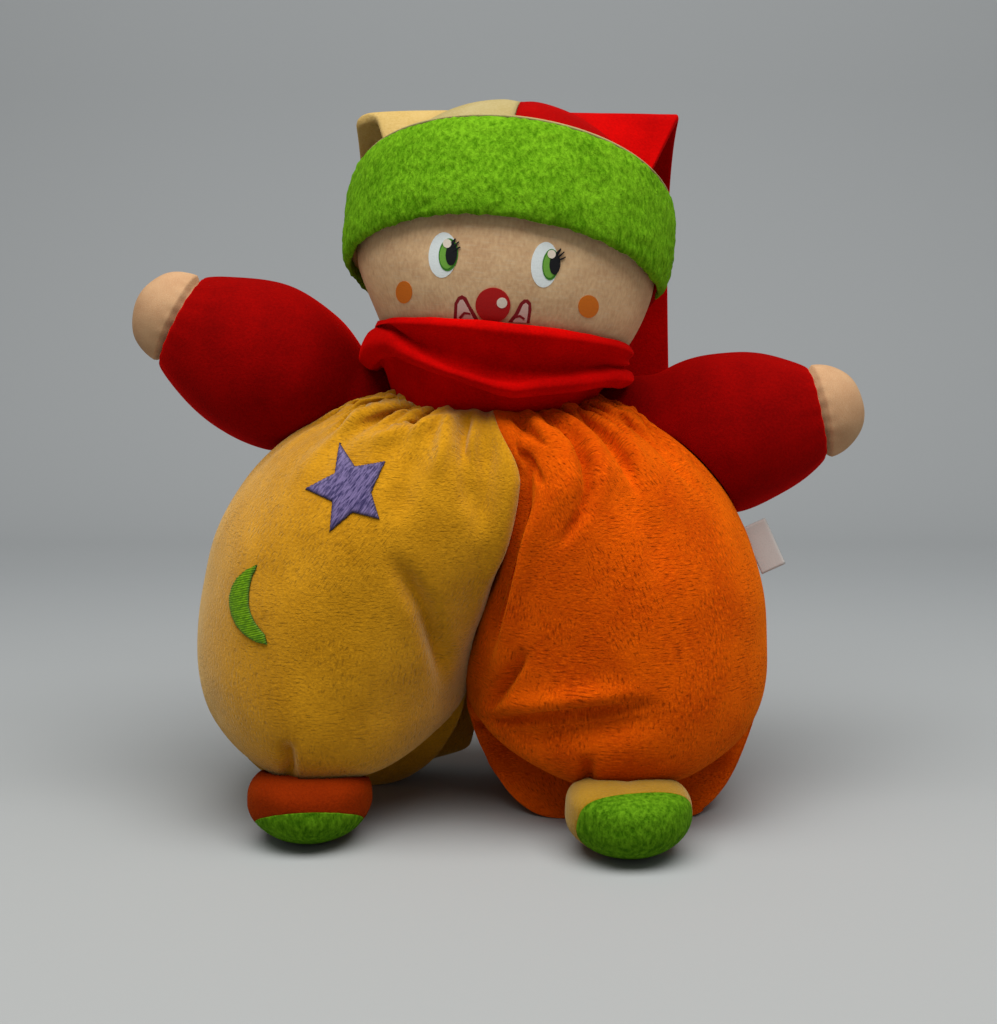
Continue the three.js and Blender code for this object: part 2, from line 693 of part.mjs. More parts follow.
function makeFoot(name, foot) {
  const group = new THREE.Group();
  const radii = [FOOT_HALF_WIDTH, FOOT_HALF_LENGTH, FOOT_HALF_HEIGHT];
  const form = (inset, steps) => ellipsoid(radii.map((r) => r - inset), steps, steps / 2)
    .translate([foot.x, foot.y, FOOT_HALF_HEIGHT - FOOT_SINK])
    .intersect(behindPlane(new THREE.Vector3(0, 0, inset), UP.clone().negate()));
  const pivot = footPivot(foot);
  const swung = (angle) => besideBody
    .translate(pivot.clone().negate().toArray())
    .rotate([THREE.MathUtils.radToDeg(-angle), 0, 0])
    .translate(pivot.toArray());
  const clear = spread(0, FOOT_SWING, 2).map(swung);
  const clearOf = (solid) => clear.reduce((left, body) => left.subtract(body), solid);
  const facing = new THREE.Vector3(...foot.soleFacing).normalize();
  const seam = new THREE.Vector3(foot.x, foot.y, FOOT_HALF_HEIGHT).addScaledVector(facing, foot.soleAt);
  const cover = clearOf(form(0, LIMB_AROUND)).subtract(form(CLOTH, LIMB_AROUND / 2));
  const filling = clearOf(form(CLOTH + FILLING_GAP, LIMB_AROUND / 2));
  const shift = facing.clone().multiplyScalar(GAP);
  const upper = cover.intersect(behindPlane(seam, facing));
  const sole = cover.intersect(behindPlane(seam.clone().add(shift), facing.clone().negate()));
  group.add(meshOf(`foot_upper_${name}`, upper, materials[foot.upper]));
  group.add(meshOf(`foot_sole_${name}`, sole, materials.green));
  group.add(meshOf(`foot_filling_${name}`, filling, materials.fibre));
  return group;
}

// Assembly

const toy = new THREE.Group();
toy.add(makeRomper());
toy.add(patch('star_patch', starShape(), STAR_X, STAR_HEIGHT, materials.violet));
toy.add(patch('moon_patch', moonShape(), MOON_X, MOON_MIDDLE, materials.moon));
toy.add(makeLabel());
toy.add(makeNeckTape());

// The neck leans to one side and carries the scarf, and the head above it turns a little.
const neck = new THREE.Group();
neck.position.set(0, 0, NECK_TOP);
neck.rotation.y = HEAD_ROLL;
const headHeight = HEAD_RISE + GAP + NECK_RADIUS * Math.sin(HEAD_ROLL);
const scarf = meshOf('scarf', scarfSolid, materials.red);
scarf.position.z = headHeight;
const head = new THREE.Group();
head.position.z = headHeight;
head.rotation.z = HEAD_TURN;
const hat = makeHat();
hat.rotation.x = -HAT_TILT;
const tail = makeTail();
tail.rotation.set(0, -HEAD_ROLL, -HEAD_TURN);
head.add(makeHead(), hat, tail);
neck.add(scarf, head);
toy.add(neck);

const scarfRoom = besideScarf()
  .translate([0, 0, headHeight])
  .rotate([0, THREE.MathUtils.radToDeg(HEAD_ROLL), 0])
  .translate([0, 0, NECK_TOP]);
for (const [name, arm] of Object.entries(ARMS)) {
  toy.add(makeArm(name, arm, besideBody.add(scarfRoom)));
}
for (const [name, foot] of Object.entries(FEET)) {
  toy.add(makeFoot(name, foot));
}

// The frame's origin is under the middle of the whole toy, on the floor.
const extent = new THREE.Box3().setFromObject(toy, true);
const middle = extent.getCenter(new THREE.Vector3());
toy.position.set(-middle.x, -middle.y, -extent.min.z);

const part = new THREE.Group();
part.add(toy);

export default part;
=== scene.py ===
# %% [markdown]
# # A soft clown doll, sewn in Blender
# The real toy is a stuffed doll of velour and knitted jersey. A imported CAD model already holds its
# size, its bodies and its joints. This lesson dresses that frame: every stuffed piece is modelled as
# a closed soft form, every piece of cloth as a sheet, and all of them stay where the frame has them.

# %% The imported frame
import math

import bpy
import numpy as np
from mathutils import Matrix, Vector, noise
from mathutils.bvhtree import BVHTree


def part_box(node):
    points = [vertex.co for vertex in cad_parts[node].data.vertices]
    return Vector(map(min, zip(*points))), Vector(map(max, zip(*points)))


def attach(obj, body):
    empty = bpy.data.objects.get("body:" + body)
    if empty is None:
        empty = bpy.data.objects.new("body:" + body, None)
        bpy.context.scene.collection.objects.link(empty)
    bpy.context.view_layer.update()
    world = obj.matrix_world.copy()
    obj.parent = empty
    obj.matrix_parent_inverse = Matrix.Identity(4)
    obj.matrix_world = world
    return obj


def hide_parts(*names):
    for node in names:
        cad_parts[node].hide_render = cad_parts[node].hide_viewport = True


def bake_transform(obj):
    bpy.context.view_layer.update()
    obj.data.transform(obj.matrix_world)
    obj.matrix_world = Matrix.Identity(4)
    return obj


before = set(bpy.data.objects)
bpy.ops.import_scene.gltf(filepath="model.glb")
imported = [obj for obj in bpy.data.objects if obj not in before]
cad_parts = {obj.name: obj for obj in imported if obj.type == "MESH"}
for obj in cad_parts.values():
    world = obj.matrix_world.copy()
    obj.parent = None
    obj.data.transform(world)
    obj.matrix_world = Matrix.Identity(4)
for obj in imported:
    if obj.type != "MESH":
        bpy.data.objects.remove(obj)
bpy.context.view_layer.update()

# %% [markdown]
# ## Working in millimetres round the neck
# A doll is easiest to think of in millimetres from the foot of its neck's axis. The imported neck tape
# is a ring round that axis, so its middle gives the way from the doll's own measures to the frame's
# metres. A few small helpers read and move a mesh's points in those measures.

# %% Measures
MM = 0.001
tape_low, tape_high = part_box("neck_tape")
NECK = np.array([tape_low.x + tape_high.x, tape_low.y + tape_high.y, 0]) / 2 / MM
print("the neck's axis stands at", NECK.round(2), "mm")

# %% A new piece and its points
def start(name, add, **sizes):
    """Adds one primitive with nothing else selected, and names it."""
    bpy.ops.object.select_all(action="DESELECT")
    add(**sizes)
    piece = bpy.context.object
    piece.name = piece.data.name = name
    return piece


def new_ball(name, around, rows, radius=1):
    """A ball with this many points round it and rows from its lowest point to its highest."""
    return start(name, bpy.ops.mesh.primitive_uv_sphere_add, segments=around, ring_count=rows,
                 radius=radius)


def new_grid(name, columns, rows):
    """A flat grid from -1 to 1 in both directions."""
    return start(name, bpy.ops.mesh.primitive_grid_add, x_subdivisions=columns, y_subdivisions=rows,
                 size=2)


def select_only(piece):
    """Makes a piece the only selected one."""
    bpy.ops.object.select_all(action="DESELECT")
    piece.select_set(True)
    bpy.context.view_layer.objects.active = piece


def raw_points(piece):
    """A mesh's points as they are stored."""
    flat = np.empty(len(piece.data.vertices) * 3)
    piece.data.vertices.foreach_get("co", flat)
    return flat.reshape(-1, 3)


def points_of(piece):
    """A piece's points in millimetres from the foot of the neck's axis."""
    return raw_points(piece) / MM - NECK


def move_points(piece, points):
    """Puts a piece's points at these millimetres."""
    piece.data.vertices.foreach_set("co", ((points + NECK) * MM).ravel())
    piece.data.update()


def normals_of(piece):
    """The outward direction at every point."""
    flat = np.empty(len(piece.data.vertices) * 3)
    piece.data.vertices.foreach_get("normal", flat)
    return flat.reshape(-1, 3)


def lift_points(piece, rise):
    """Moves every point along the surface's normal by its own rise in millimetres."""
    move_points(piece, points_of(piece) + normals_of(piece) * rise[:, None])


# %% Modifiers, finishes and bodies
def apply(piece, kind, **settings):
    """Adds a modifier with these settings and applies it."""
    bpy.context.view_layer.objects.active = piece
    modifier = piece.modifiers.new(kind.lower(), kind)
    for name, value in settings.items():
        setattr(modifier, name, value)
    bpy.ops.object.modifier_apply(modifier=modifier.name)


def settle(piece, finish, body=None, stands_for=()):
    """Smooth shading, a finish, the body that carries the piece and the CAD nodes it stands for."""
    select_only(piece)
    bpy.ops.object.shade_smooth()
    piece.data.materials.clear()
    piece.data.materials.append(finish)
    if body:
        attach(piece, body)
    if stands_for:
        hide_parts(*stands_for)
    points = points_of(piece)
    print(piece.name, len(piece.data.polygons), "faces,", np.ptp(points, axis=0).round(1), "mm")


# %% Waves, soft steps and grain
def waves(turn, parts):
    """A sum of sine waves round a piece, each with a count, a size and a shift."""
    return sum(size * np.sin(count * turn + shift) for count, size, shift in parts)


def smoothstep(value, low, high):
    """From 0 at low to 1 at high, with soft ends."""
    t = np.clip((value - low) / (high - low), 0, 1)
    return t * t * (3 - 2 * t)


def grain(points, size):
    """Smooth chance heights from about -1 to 1 that vary over about this many millimetres."""
    return np.array([noise.noise(Vector(p / size)) for p in points])


print("grain at two spots:", grain(np.array([[1.0, 2, 3], [4, 5, 6]]), 10).round(2))

# %% [markdown]
# ## The camera, and where a point falls in the picture
# The camera stands in front of the doll, a little above its middle, at the distance that gives the
# same perspective as a hand-held photograph. Folds and printed marks are easiest to place as they are
# seen, so one helper says where a point falls in the picture, and another throws a picture spot back
# onto a surface.

# %% Camera
IMAGE_WIDTH = 997
IMAGE_HEIGHT = 1024
LENS_PIXELS = 1560
SENSOR = 36
CAMERA_DISTANCE = 520
CAMERA_RISE = math.radians(8)
AIM = np.array([1.63, 0, 98.3])
RIGHT = np.array([1.0, 0, 0])
UP = np.array([0, math.sin(CAMERA_RISE), math.cos(CAMERA_RISE)])
BACK = np.array([0, -math.cos(CAMERA_RISE), math.sin(CAMERA_RISE)])
EYE = AIM + BACK * CAMERA_DISTANCE
FRONT_TO_BACK = np.array([1, -1, 1])

bpy.ops.object.camera_add(location=(EYE + NECK) * MM, rotation=(math.pi / 2 - CAMERA_RISE, 0, 0))
camera = bpy.context.object
camera.data.sensor_width = SENSOR
camera.data.lens = LENS_PIXELS / IMAGE_HEIGHT * SENSOR
bpy.context.scene.camera = camera
print("camera at", ((EYE + NECK) * MM).round(3), "lens", round(camera.data.lens, 2))

# %% From points to pixels and back
def picture(points):
    """The pixel that each point falls on, seen from the camera."""
    away = points - EYE
    depth = -(away @ BACK)
    across = IMAGE_WIDTH / 2 + LENS_PIXELS * (away @ RIGHT) / depth
    down = IMAGE_HEIGHT / 2 - LENS_PIXELS * (away @ UP) / depth
    return np.column_stack([across, down])


def tree_of(piece):
    """A search tree over a piece's faces, in the doll's millimetres."""
    faces = [tuple(face.vertices) for face in piece.data.polygons]
    return BVHTree.FromPolygons(points_of(piece).tolist(), faces)


def cast(tree, spots):
    """Where picture spots land on a surface, and the surface's direction there."""
    hits, facings = [], []
    for across, down in spots:
        ray = RIGHT * (across - IMAGE_WIDTH / 2) + UP * (IMAGE_HEIGHT / 2 - down)
        hit, facing, _, _ = tree.ray_cast(Vector(EYE), Vector(ray / LENS_PIXELS - BACK).normalized())
        hits.append(hit if hit else Vector(EYE))
        facings.append(facing if facing else Vector(BACK))
    return np.array(hits), np.array(facings)


print("the foot of the neck's axis falls on pixel", picture(np.zeros((1, 3))).round(1)[0])

# %% [markdown]
# ## Finishes
# Velour is a knit whose loops are cut to a short dense pile. It has no gloss, it is paler where one
# looks along the pile, and it shows small marks where the pile has parted. That is a rough shader
# with sheen, a colour that varies over a millimetre and over a couple of centimetres, and short dark
# marks that follow the piece's own UV map. Scales are worked out from real sizes, since Object
# coordinates are in metres. Some pieces of one cloth get a lighter or darker copy of its colour: that
# is painted light and painted shade, standing in for how the light falls on them.

# %% Colour and nodes
def linear(code, share=1.0):
    """An sRGB hex colour as the linear colour that a socket takes, dimmed or lifted by a share."""
    channels = [int(code[i:i + 2], 16) / 255 for i in (1, 3, 5)]
    light = [c / 12.92 if c <= 0.04045 else ((c + 0.055) / 1.055) ** 2.4 for c in channels]
    return tuple(min(c * share, 1) for c in light) + (1,)


def node(tree, kind, inputs=None, **settings):
    """Adds a node and fills its inputs with values, sockets or the first outputs of other nodes."""
    made = tree.nodes.new("ShaderNode" + kind)
    for name, value in settings.items():
        setattr(made, name, value)
    for name, value in (inputs or {}).items():
        value = value.outputs[0] if isinstance(value, bpy.types.Node) else value
        if isinstance(value, bpy.types.NodeSocket):
            tree.links.new(value, made.inputs[name])
        else:
            made.inputs[name].default_value = value
    return made


def per_metre(size):
    """A noise scale whose features are about this many millimetres."""
    return 1 / (size * MM)


def new_finish(name):
    """A material, its node tree, and the coordinates in it, from which everything else follows."""
    finish = bpy.data.materials.new(name)
    finish.use_nodes = True
    finish.node_tree.nodes.clear()
    return finish, finish.node_tree, node(finish.node_tree, "TexCoord")


print("middle grey is", round(linear("#808080")[0], 3), "in linear light")

# %% Cotton velour
PILE = 0.9  # coarser than the real pile, so that it shows
PATCHES = 14
PARTINGS = 18
PARTED, RAISED = 0.3, 1.3
# Cells over a UV map: on a romper half, marks of about 2 x 0.6 mm along and across the knit
WEFT = (130, 420, 1)
WARP = (470, 120, 1)


def velour(name, colour, shade, marks=0.0, streak=(1, 1, 1), pile=PILE, contrast=0.28, patchy=1.0,
           sheen=0.25, glow=None, relief=0.5):
    """Cut-pile knit: matt, with soft sheen, pile that varies in shade, and lines where it has parted."""
    finish, tree, place = new_finish(name)
    combed = node(tree, "Mapping", {"Vector": place.outputs["Object"], "Scale": streak})
    fine = node(tree, "TexNoise", {"Vector": combed, "Scale": per_metre(pile), "Detail": 3.0,
                                   "Roughness": 0.65})
    broad = node(tree, "TexNoise", {"Vector": place.outputs["Object"], "Scale": per_metre(PATCHES),
                                    "Detail": 2.0})
    lit = node(tree, "Math", {0: broad, 1: patchy, 2: fine}, operation="MULTIPLY_ADD")
    middle = 0.5 + patchy / 2
    share = node(tree, "MapRange", {"Value": lit, "From Min": middle - contrast,
                                    "From Max": middle + contrast})
    ground = node(tree, "MixRGB", {"Fac": share, "Color1": linear(shade), "Color2": linear(colour)})
    height = fine
    if marks:
        lines = []
        for cells in (WEFT, WARP):
            laid = node(tree, "Mapping", {"Vector": place.outputs["UV"], "Scale": cells})
            lines.append(node(tree, "TexNoise", {"Vector": laid, "Scale": 1.0, "Detail": 1.5}))
        area = node(tree, "TexNoise", {"Vector": place.outputs["Object"], "Scale": per_metre(PARTINGS),
                                       "Detail": 1.0})
        upright = node(tree, "MapRange", {"Value": area, "From Min": 0.44, "From Max": 0.56})
        weave = node(tree, "MixRGB", {"Fac": upright, "Color1": lines[0], "Color2": lines[1]})
        dark, pale = (
            node(tree, "MapRange", {"Value": weave, "From Min": low, "From Max": high, "To Max": marks})
            for low, high in ((0.56, 0.7), (0.44, 0.3)))
        parted = node(tree, "MixRGB", {"Fac": dark, "Color1": ground, "Color2": linear(shade, PARTED)})
        ground = node(tree, "MixRGB", {"Fac": pale, "Color1": parted, "Color2": linear(colour, RAISED)})
        height = node(tree, "Math", {0: height, 1: dark}, operation="SUBTRACT")
    bump = node(tree, "Bump", {"Height": height, "Strength": relief, "Distance": 0.8 * MM})
    shader = node(tree, "BsdfPrincipled", {
        "Base Color": ground, "Normal": bump, "Roughness": 0.95, "Specular IOR Level": 0.03,
        "Sheen Weight": sheen, "Sheen Roughness": 0.45, "Sheen Tint": linear(glow or colour)})
    node(tree, "OutputMaterial", {"Surface": shader})
    return finish


# %% The velours
YELLOW = velour("yellow_velour", "#C88C12", "#AB7405", marks=0.35, sheen=0.55, glow="#F2E0B4")
ORANGE = velour("orange_velour", "#DA5702", "#BA3F01", marks=0.55, sheen=0.5, glow="#F08A10")
RED = velour("red_velour", "#B40201", "#960101", sheen=0.4, glow="#F00C04", relief=0.25)
# Painted light and shade: the scarf's red is painted lighter, and the crown's and the sleeves' darker,
# than the one red velour they are all cut from.
SCARF_RED_PAINTED_LIGHT = velour("painted_light_scarf_velour", "#C80301", "#A60201", sheen=0.5, glow="#FF1004", relief=0.25)
CROWN_RED_PAINTED_SHADE = velour("painted_shade_crown_velour", "#980201", "#800101", sheen=0.3, glow="#E80C04", relief=0.25)
SLEEVE_RED_PAINTED_SHADE = velour("painted_shade_sleeve_velour", "#860201", "#6A0101", sheen=1.0, glow="#FF1004", relief=0.25)
TUFTED = dict(streak=(1, 1, 0.5), pile=1.3, contrast=0.17, patchy=0.3, relief=1.0)
GREEN = velour("green_pile", "#6CA018", "#427205", sheen=0.3, **TUFTED)
CREAM = velour("cream_velour", "#A39469", "#958453", sheen=0.25, relief=0.3)
# Painted light: the tail's cream is painted warmer and lighter than the crown's, for light bounced onto
# it.
TAIL_CREAM_PAINTED_LIGHT = velour("painted_light_cream_velour", "#B89C62", "#A88A4C", sheen=0.25, relief=0.3)
# Painted shade: the feet's velour is painted darker than the romper's, for the shadow under the belly.
FOOT_ORANGE_PAINTED_SHADE = velour("painted_shade_orange_velour", "#7E2502", "#6A1B01", marks=0.4, sheen=0.3, glow="#E06008")
FOOT_YELLOW_PAINTED_SHADE = velour("painted_shade_yellow_velour", "#9E7618", "#8A6407", marks=0.3, sheen=0.4, glow="#F2E0B4")
# Painted shade: the soles' green is painted darker than the cuff's, for the shade on their down-turned
# faces.
SOLE_GREEN_PAINTED_SHADE = velour("painted_shade_sole_pile", "#5C8A14", "#325C04", sheen=0.25, **TUFTED)
print(sum(finish.name.endswith(("velour", "pile")) for finish in bpy.data.materials), "velours")

# %% [markdown]
# ## Jersey, ink and thread
# The face and hands are a fine jersey, with upright ribs of loops and a few thick, pale places in the
# yarn. The face is printed on it, so the inks keep the jersey's own relief. The star and moon are
# satin stitch, which is smooth along the thread and gleams a little across it.

# %% Knitted jersey
RIBS = 300  # round a whole UV map, about one a millimetre on the head
SLUBS = (70, 260, 1)  # about 4 x 0.6 mm on the head
TINTS = 9


def jersey(name, colour, shade, slub=0.3):
    """Fine knit: upright ribs of loops, and pale thick places in the yarn."""
    finish, tree, place = new_finish(name)
    ribs = node(tree, "Mapping", {"Vector": place.outputs["UV"], "Scale": (RIBS, RIBS / 4, 1)})
    loops = node(tree, "TexNoise", {"Vector": ribs, "Scale": 1.0, "Detail": 2.0})
    laid = node(tree, "Mapping", {"Vector": place.outputs["UV"], "Scale": SLUBS})
    thick = node(tree, "TexNoise", {"Vector": laid, "Scale": 1.0, "Detail": 1.0})
    pale = node(tree, "MapRange", {"Value": thick, "From Min": 0.54, "From Max": 0.7, "To Max": slub})
    broad = node(tree, "TexNoise", {"Vector": place.outputs["Object"], "Scale": per_metre(TINTS),
                                    "Detail": 2.0})
    mixed = node(tree, "Math", {0: loops, 1: broad}, operation="ADD")
    share = node(tree, "MapRange", {"Value": mixed, "From Min": 0.7, "From Max": 1.25})
    tone = node(tree, "MixRGB", {"Fac": share, "Color1": linear(shade), "Color2": linear(colour)})
    knit = node(tree, "MixRGB", {"Fac": pale, "Color1": tone, "Color2": linear("#CBB595")})
    bump = node(tree, "Bump", {"Height": mixed, "Strength": 0.35, "Distance": 0.4 * MM})
    shader = node(tree, "BsdfPrincipled", {
        "Base Color": knit, "Normal": bump, "Roughness": 0.9, "Specular IOR Level": 0.2,
        "Sheen Weight": 0.15, "Sheen Tint": linear(colour)})
    node(tree, "OutputMaterial", {"Surface": shader})
    return finish


JERSEY = jersey("beige_jersey", "#D4B084", "#BE966E")
# Painted shade: the hands' jersey is painted darker than the face's, for the weaker light on them.
HAND_JERSEY_PAINTED_SHADE = jersey("painted_shade_hand_jersey", "#BA936C", "#A67C58")
print("jerseys:", JERSEY.name, HAND_JERSEY_PAINTED_SHADE.name)

# %% Fabric print
FIBRES = 0.5
DULLED = 0.7


def ink(name, colour):
    """Fabric print: flat colour, dulled a little by the knit under it."""
    finish, tree, place = new_finish(name)
    fibres = node(tree, "TexNoise", {"Vector": place.outputs["Object"], "Scale": per_metre(FIBRES),
                                     "Detail": 2.0})
    share = node(tree, "MapRange", {"Value": fibres, "From Min": 0.3, "From Max": 0.5, "To Min": 0.8,
                                    "To Max": 1.0})
    tone = node(tree, "MixRGB", {"Fac": share, "Color1": linear(colour, DULLED),
                                 "Color2": linear(colour)})
    bump = node(tree, "Bump", {"Height": fibres, "Strength": 0.2, "Distance": 0.3 * MM})
    shader = node(tree, "BsdfPrincipled", {"Base Color": tone, "Normal": bump,
                                           "Roughness": 0.7, "Specular IOR Level": 0.25})
    node(tree, "OutputMaterial", {"Surface": shader})
    return finish


RIBBON = ink("white_ribbon", "#C0BAB4")
INKS = {
    "white": ink("white_ink", "#DCE2E0"),
    "leaf": ink("leaf_green_ink", "#6AA038"),
    "deep": ink("deep_green_ink", "#3C7A1E"),
    "black": ink("black_ink", "#0C0C10"),
    "red": ink("red_ink", "#AA0806"),
    "wine": ink("wine_ink", "#7E0812"),
    "orange": ink("orange_ink", "#CC6A0E"),
    "shine": ink("pale_ink", "#DCCEBC"),
    "pink": ink("pink_ink", "#CDA89C"),
}
print("inks:", sorted(INKS))

# %% Satin stitch
STRANDS = 0.7  # coarser than real thread, so that it shows


def thread(name, colour, shade, lean):
    """Satin stitch: parallel threads with a low gleam, darker at the rim where they go in."""
    finish, tree, place = new_finish(name)
    laid = node(tree, "Mapping", {"Vector": place.outputs["Object"], "Scale": (1, 1, 6),
                                  "Rotation": (0, lean, 0)}, vector_type="TEXTURE")
    strands = node(tree, "TexNoise", {"Vector": laid, "Scale": per_metre(STRANDS), "Detail": 2.0})
    share = node(tree, "MapRange", {"Value": strands, "From Min": 0.38, "From Max": 0.6})
    tone = node(tree, "MixRGB", {"Fac": share, "Color1": linear(shade), "Color2": linear(colour)})
    rim = node(tree, "Attribute", attribute_name="rim")
    edged = node(tree, "MixRGB", {"Fac": rim.outputs["Fac"], "Color1": tone,
                                  "Color2": linear(shade, PARTED)})
    shader = node(tree, "BsdfPrincipled", {
        "Base Color": edged, "Roughness": 0.5, "Specular IOR Level": 0.2,
        "Sheen Weight": 0.1, "Sheen Tint": linear(colour)})
    node(tree, "OutputMaterial", {"Surface": shader})
    return finish


VIOLET_THREAD = thread("violet_thread", "#746690", "#3A325C", 0.7)
MOON_THREAD = thread("green_thread", "#78A802", "#548402", 1.3)
print("threads:", VIOLET_THREAD.name, MOON_THREAD.name)

# %% [markdown]
# ## The romper's two halves
# The romper is sewn from a yellow and an orange half, each a bag of two panels that is stuffed until
# it is round. A voxel-remeshed block would lose the seams, so each half starts as a ball whose rings
# become the levels of the bag: outwards to the side seam, inwards to the centre seam, down to the
# seat and in at the neck. In front the legs stand apart. Behind, below the crotch, both are drawn in
# to one closed seat.

# %% Measures of the halves
SHOULDER_HEIGHT = 134.5
NECK_TOP = 136.5
NECK_RADIUS = 24
WIDEST_HEIGHT = 51
CROTCH_HEIGHT = 41
CROTCH_X = -9
SEAM_TOP_X = 7
SEAM_TOP_HEIGHT = 113
BELLY_DEPTH = 56
BELLY_HEIGHT = 69
BACK_DEPTH = 50
RUMP_HEIGHT = 53
SEAT_BACK = 30
HEM_HEIGHT = 14
HEM_SILL = 3
SIDE_SEAM_STRAIGHT = 62
LEG_ROUND = 1.8
BELLY_ROUND = 4.5
SEAT_WALL = (18, 34)
SEAT_FROM = (0, 8)
SEAT_TO = (CROTCH_HEIGHT, CROTCH_HEIGHT + 6)
SEAT_CORNER = 4
SEAT_LAP = 6
VALLEY_LEAST = 0.3
CHEST_ROUND = 2.8
WALL_FROM = math.radians(165)
HALVES = {
    "yellow": dict(sign=-1, reach=98.5, leg=56, seat=16, forward=-14, shoulder=2.35, valley=0.95),
    "orange": dict(sign=1, reach=92, leg=41, seat=22, forward=21, shoulder=2.1, valley=0.9),
}
print("the side seams are", [half["reach"] for half in HALVES.values()], "mm from the neck's axis")

# %% How far a half reaches
def swell(narrow, wide, share, power):
    """From wide at share 0 to narrow at share 1, along a rounded curve."""
    return narrow + (wide - narrow) * (1 - np.clip(share, 0, 1) ** power) ** (1 / power)


def centre_seam(z):
    """How far sideways the centre seam runs at each height."""
    rise = smoothstep(z, CROTCH_HEIGHT, SEAM_TOP_HEIGHT)
    fade = 1 - smoothstep(z, SEAM_TOP_HEIGHT, SHOULDER_HEIGHT)
    return (CROTCH_X + (SEAM_TOP_X - CROTCH_X) * rise) * fade


def edges(half, z, middle=1.0):
    """How far a half reaches at each height: outwards, inwards, to the front and to the back.

    The front's hem is lowest at the middle of a leg and rises to the crotch's height at its seams.
    """
    sign, leg = half["sign"], half["leg"]
    seam = -half["forward"] * np.clip(1 - z / SIDE_SEAM_STRAIGHT, 0, 1) ** 2
    above = lambda level: (z - level) / (SHOULDER_HEIGHT - level)
    outer = np.where(z < WIDEST_HEIGHT,
                     swell(leg + half["seat"], half["reach"], 1 - z / WIDEST_HEIGHT, LEG_ROUND),
                     swell(NECK_RADIUS, half["reach"], above(WIDEST_HEIGHT), half["shoulder"]))
    inner = np.where(z < CROTCH_HEIGHT,
                     swell(leg - half["seat"], sign * CROTCH_X, 1 - z / CROTCH_HEIGHT, LEG_ROUND),
                     sign * centre_seam(z))
    joined = np.clip(above(CROTCH_HEIGHT), 0, 1)
    hem = CROTCH_HEIGHT - (CROTCH_HEIGHT - HEM_HEIGHT) * middle
    centre = inner + (leg - inner) * (1 - joined ** 2)
    below = 1 - (z - hem) / (BELLY_HEIGHT - hem)
    front = np.where(z < BELLY_HEIGHT, swell(HEM_SILL, BELLY_DEPTH + seam, below, BELLY_ROUND),
                     swell(NECK_RADIUS, BELLY_DEPTH, above(BELLY_HEIGHT), CHEST_ROUND) + seam)
    back = np.where(z < RUMP_HEIGHT,
                    swell(SEAT_BACK, BACK_DEPTH, 1 - z / RUMP_HEIGHT, LEG_ROUND) - seam,
                    swell(NECK_RADIUS, BACK_DEPTH, above(RUMP_HEIGHT), CHEST_ROUND) - seam)
    kept = half["valley"] * (1 - (1 - joined) ** 2)
    return seam, outer, inner, centre, front, back, kept


_, widest, _, _, front, back, _ = edges(HALVES["yellow"], WIDEST_HEIGHT)
print("yellow half: out", widest.round(1), "front", front.round(1), "back", back.round(1), "mm")

# %% One level of a half
def level(half, turn, z):
    """The point of a half at this height and turn, and its level's middle.

    Turn 0 is the side seam and a half turn the centre; the front has negative turns.
    """
    amount = np.abs(turn)
    quarter = math.pi / 2
    inward = np.clip((amount - quarter) / (WALL_FROM - quarter), 0, 1) * quarter
    wall = np.clip((amount - WALL_FROM) / (math.pi - WALL_FROM), 0, 1)
    middle = np.where(amount < quarter, np.sin(amount), np.cos(inward))
    seam, outer, inner, centre, front, back, kept = edges(half, z, middle)
    depth = np.where(turn < 0, front, back)
    valley = np.maximum(depth * kept, VALLEY_LEAST)
    out = np.where(amount < quarter, depth * np.sin(amount),
                   (valley + (depth - valley) * np.cos(inward)) * (1 - wall))
    seat = np.where(turn > 0, smoothstep(seam + out, *SEAT_WALL), 0) * smoothstep(z, *SEAT_FROM)
    seat *= 1 - smoothstep(z, *SEAT_TO)
    round_in = np.sin(inward)
    full_in = (1 - np.cos(inward) ** SEAT_CORNER) ** (1 / SEAT_CORNER)
    reach = inner + (half["sign"] * CROTCH_X - SEAT_LAP - inner) * seat
    x = np.where(amount < quarter, centre + (outer - centre) * np.cos(amount),
                 centre - (centre - reach) * (round_in + (full_in - round_in) * seat))
    return np.column_stack([half["sign"] * x, seam + np.sign(turn) * out, z]), \
        np.column_stack([half["sign"] * centre, seam])


# %% Two balls become two halves
AROUND = 168
ROWS = 140
SEAT_ROWS = 0.06
NECK_ROWS = 0.05


def row_heights(half):
    """Heights that spread a ball's rows evenly along the outline of a half."""
    z = np.linspace(0, SHOULDER_HEIGHT, 800)
    _, outer, _, _, front, _, _ = edges(half, z)
    steps = np.hypot(np.diff(z), np.maximum(np.abs(np.diff(outer)), np.abs(np.diff(front))))
    gone = np.concatenate([[0], np.cumsum(steps)])
    return gone / gone[-1], z


def make_half(name):
    """A ball whose rows lie on the levels of a half."""
    half = HALVES[name]
    piece = new_ball(f"romper_{name}", AROUND, ROWS)
    ball = raw_points(piece)
    turn = np.arctan2(ball[:, 1], half["sign"] * ball[:, 0])
    row = np.arccos(np.clip(-ball[:, 2], -1, 1)) / math.pi
    share, heights = row_heights(half)
    z = np.interp((row - SEAT_ROWS) / (1 - SEAT_ROWS - NECK_ROWS), share, heights)
    spread = np.clip(row / SEAT_ROWS, 0, 1) * np.clip((1 - row) / NECK_ROWS, 0, 1)
    points, middle = level(half, turn, z)
    points[:, :2] = middle + (points[:, :2] - middle) * spread[:, None]
    points[:, 2] += (NECK_TOP - SHOULDER_HEIGHT) * smoothstep(row, 1 - NECK_ROWS, 1 - NECK_ROWS / 2)
    move_points(piece, points)
    return piece


rompers = {name: make_half(name) for name in HALVES}
for name, piece in rompers.items():
    apply(piece, "SUBSURF", levels=1, render_levels=1)
    print(name, "half has", len(piece.data.vertices), "points")

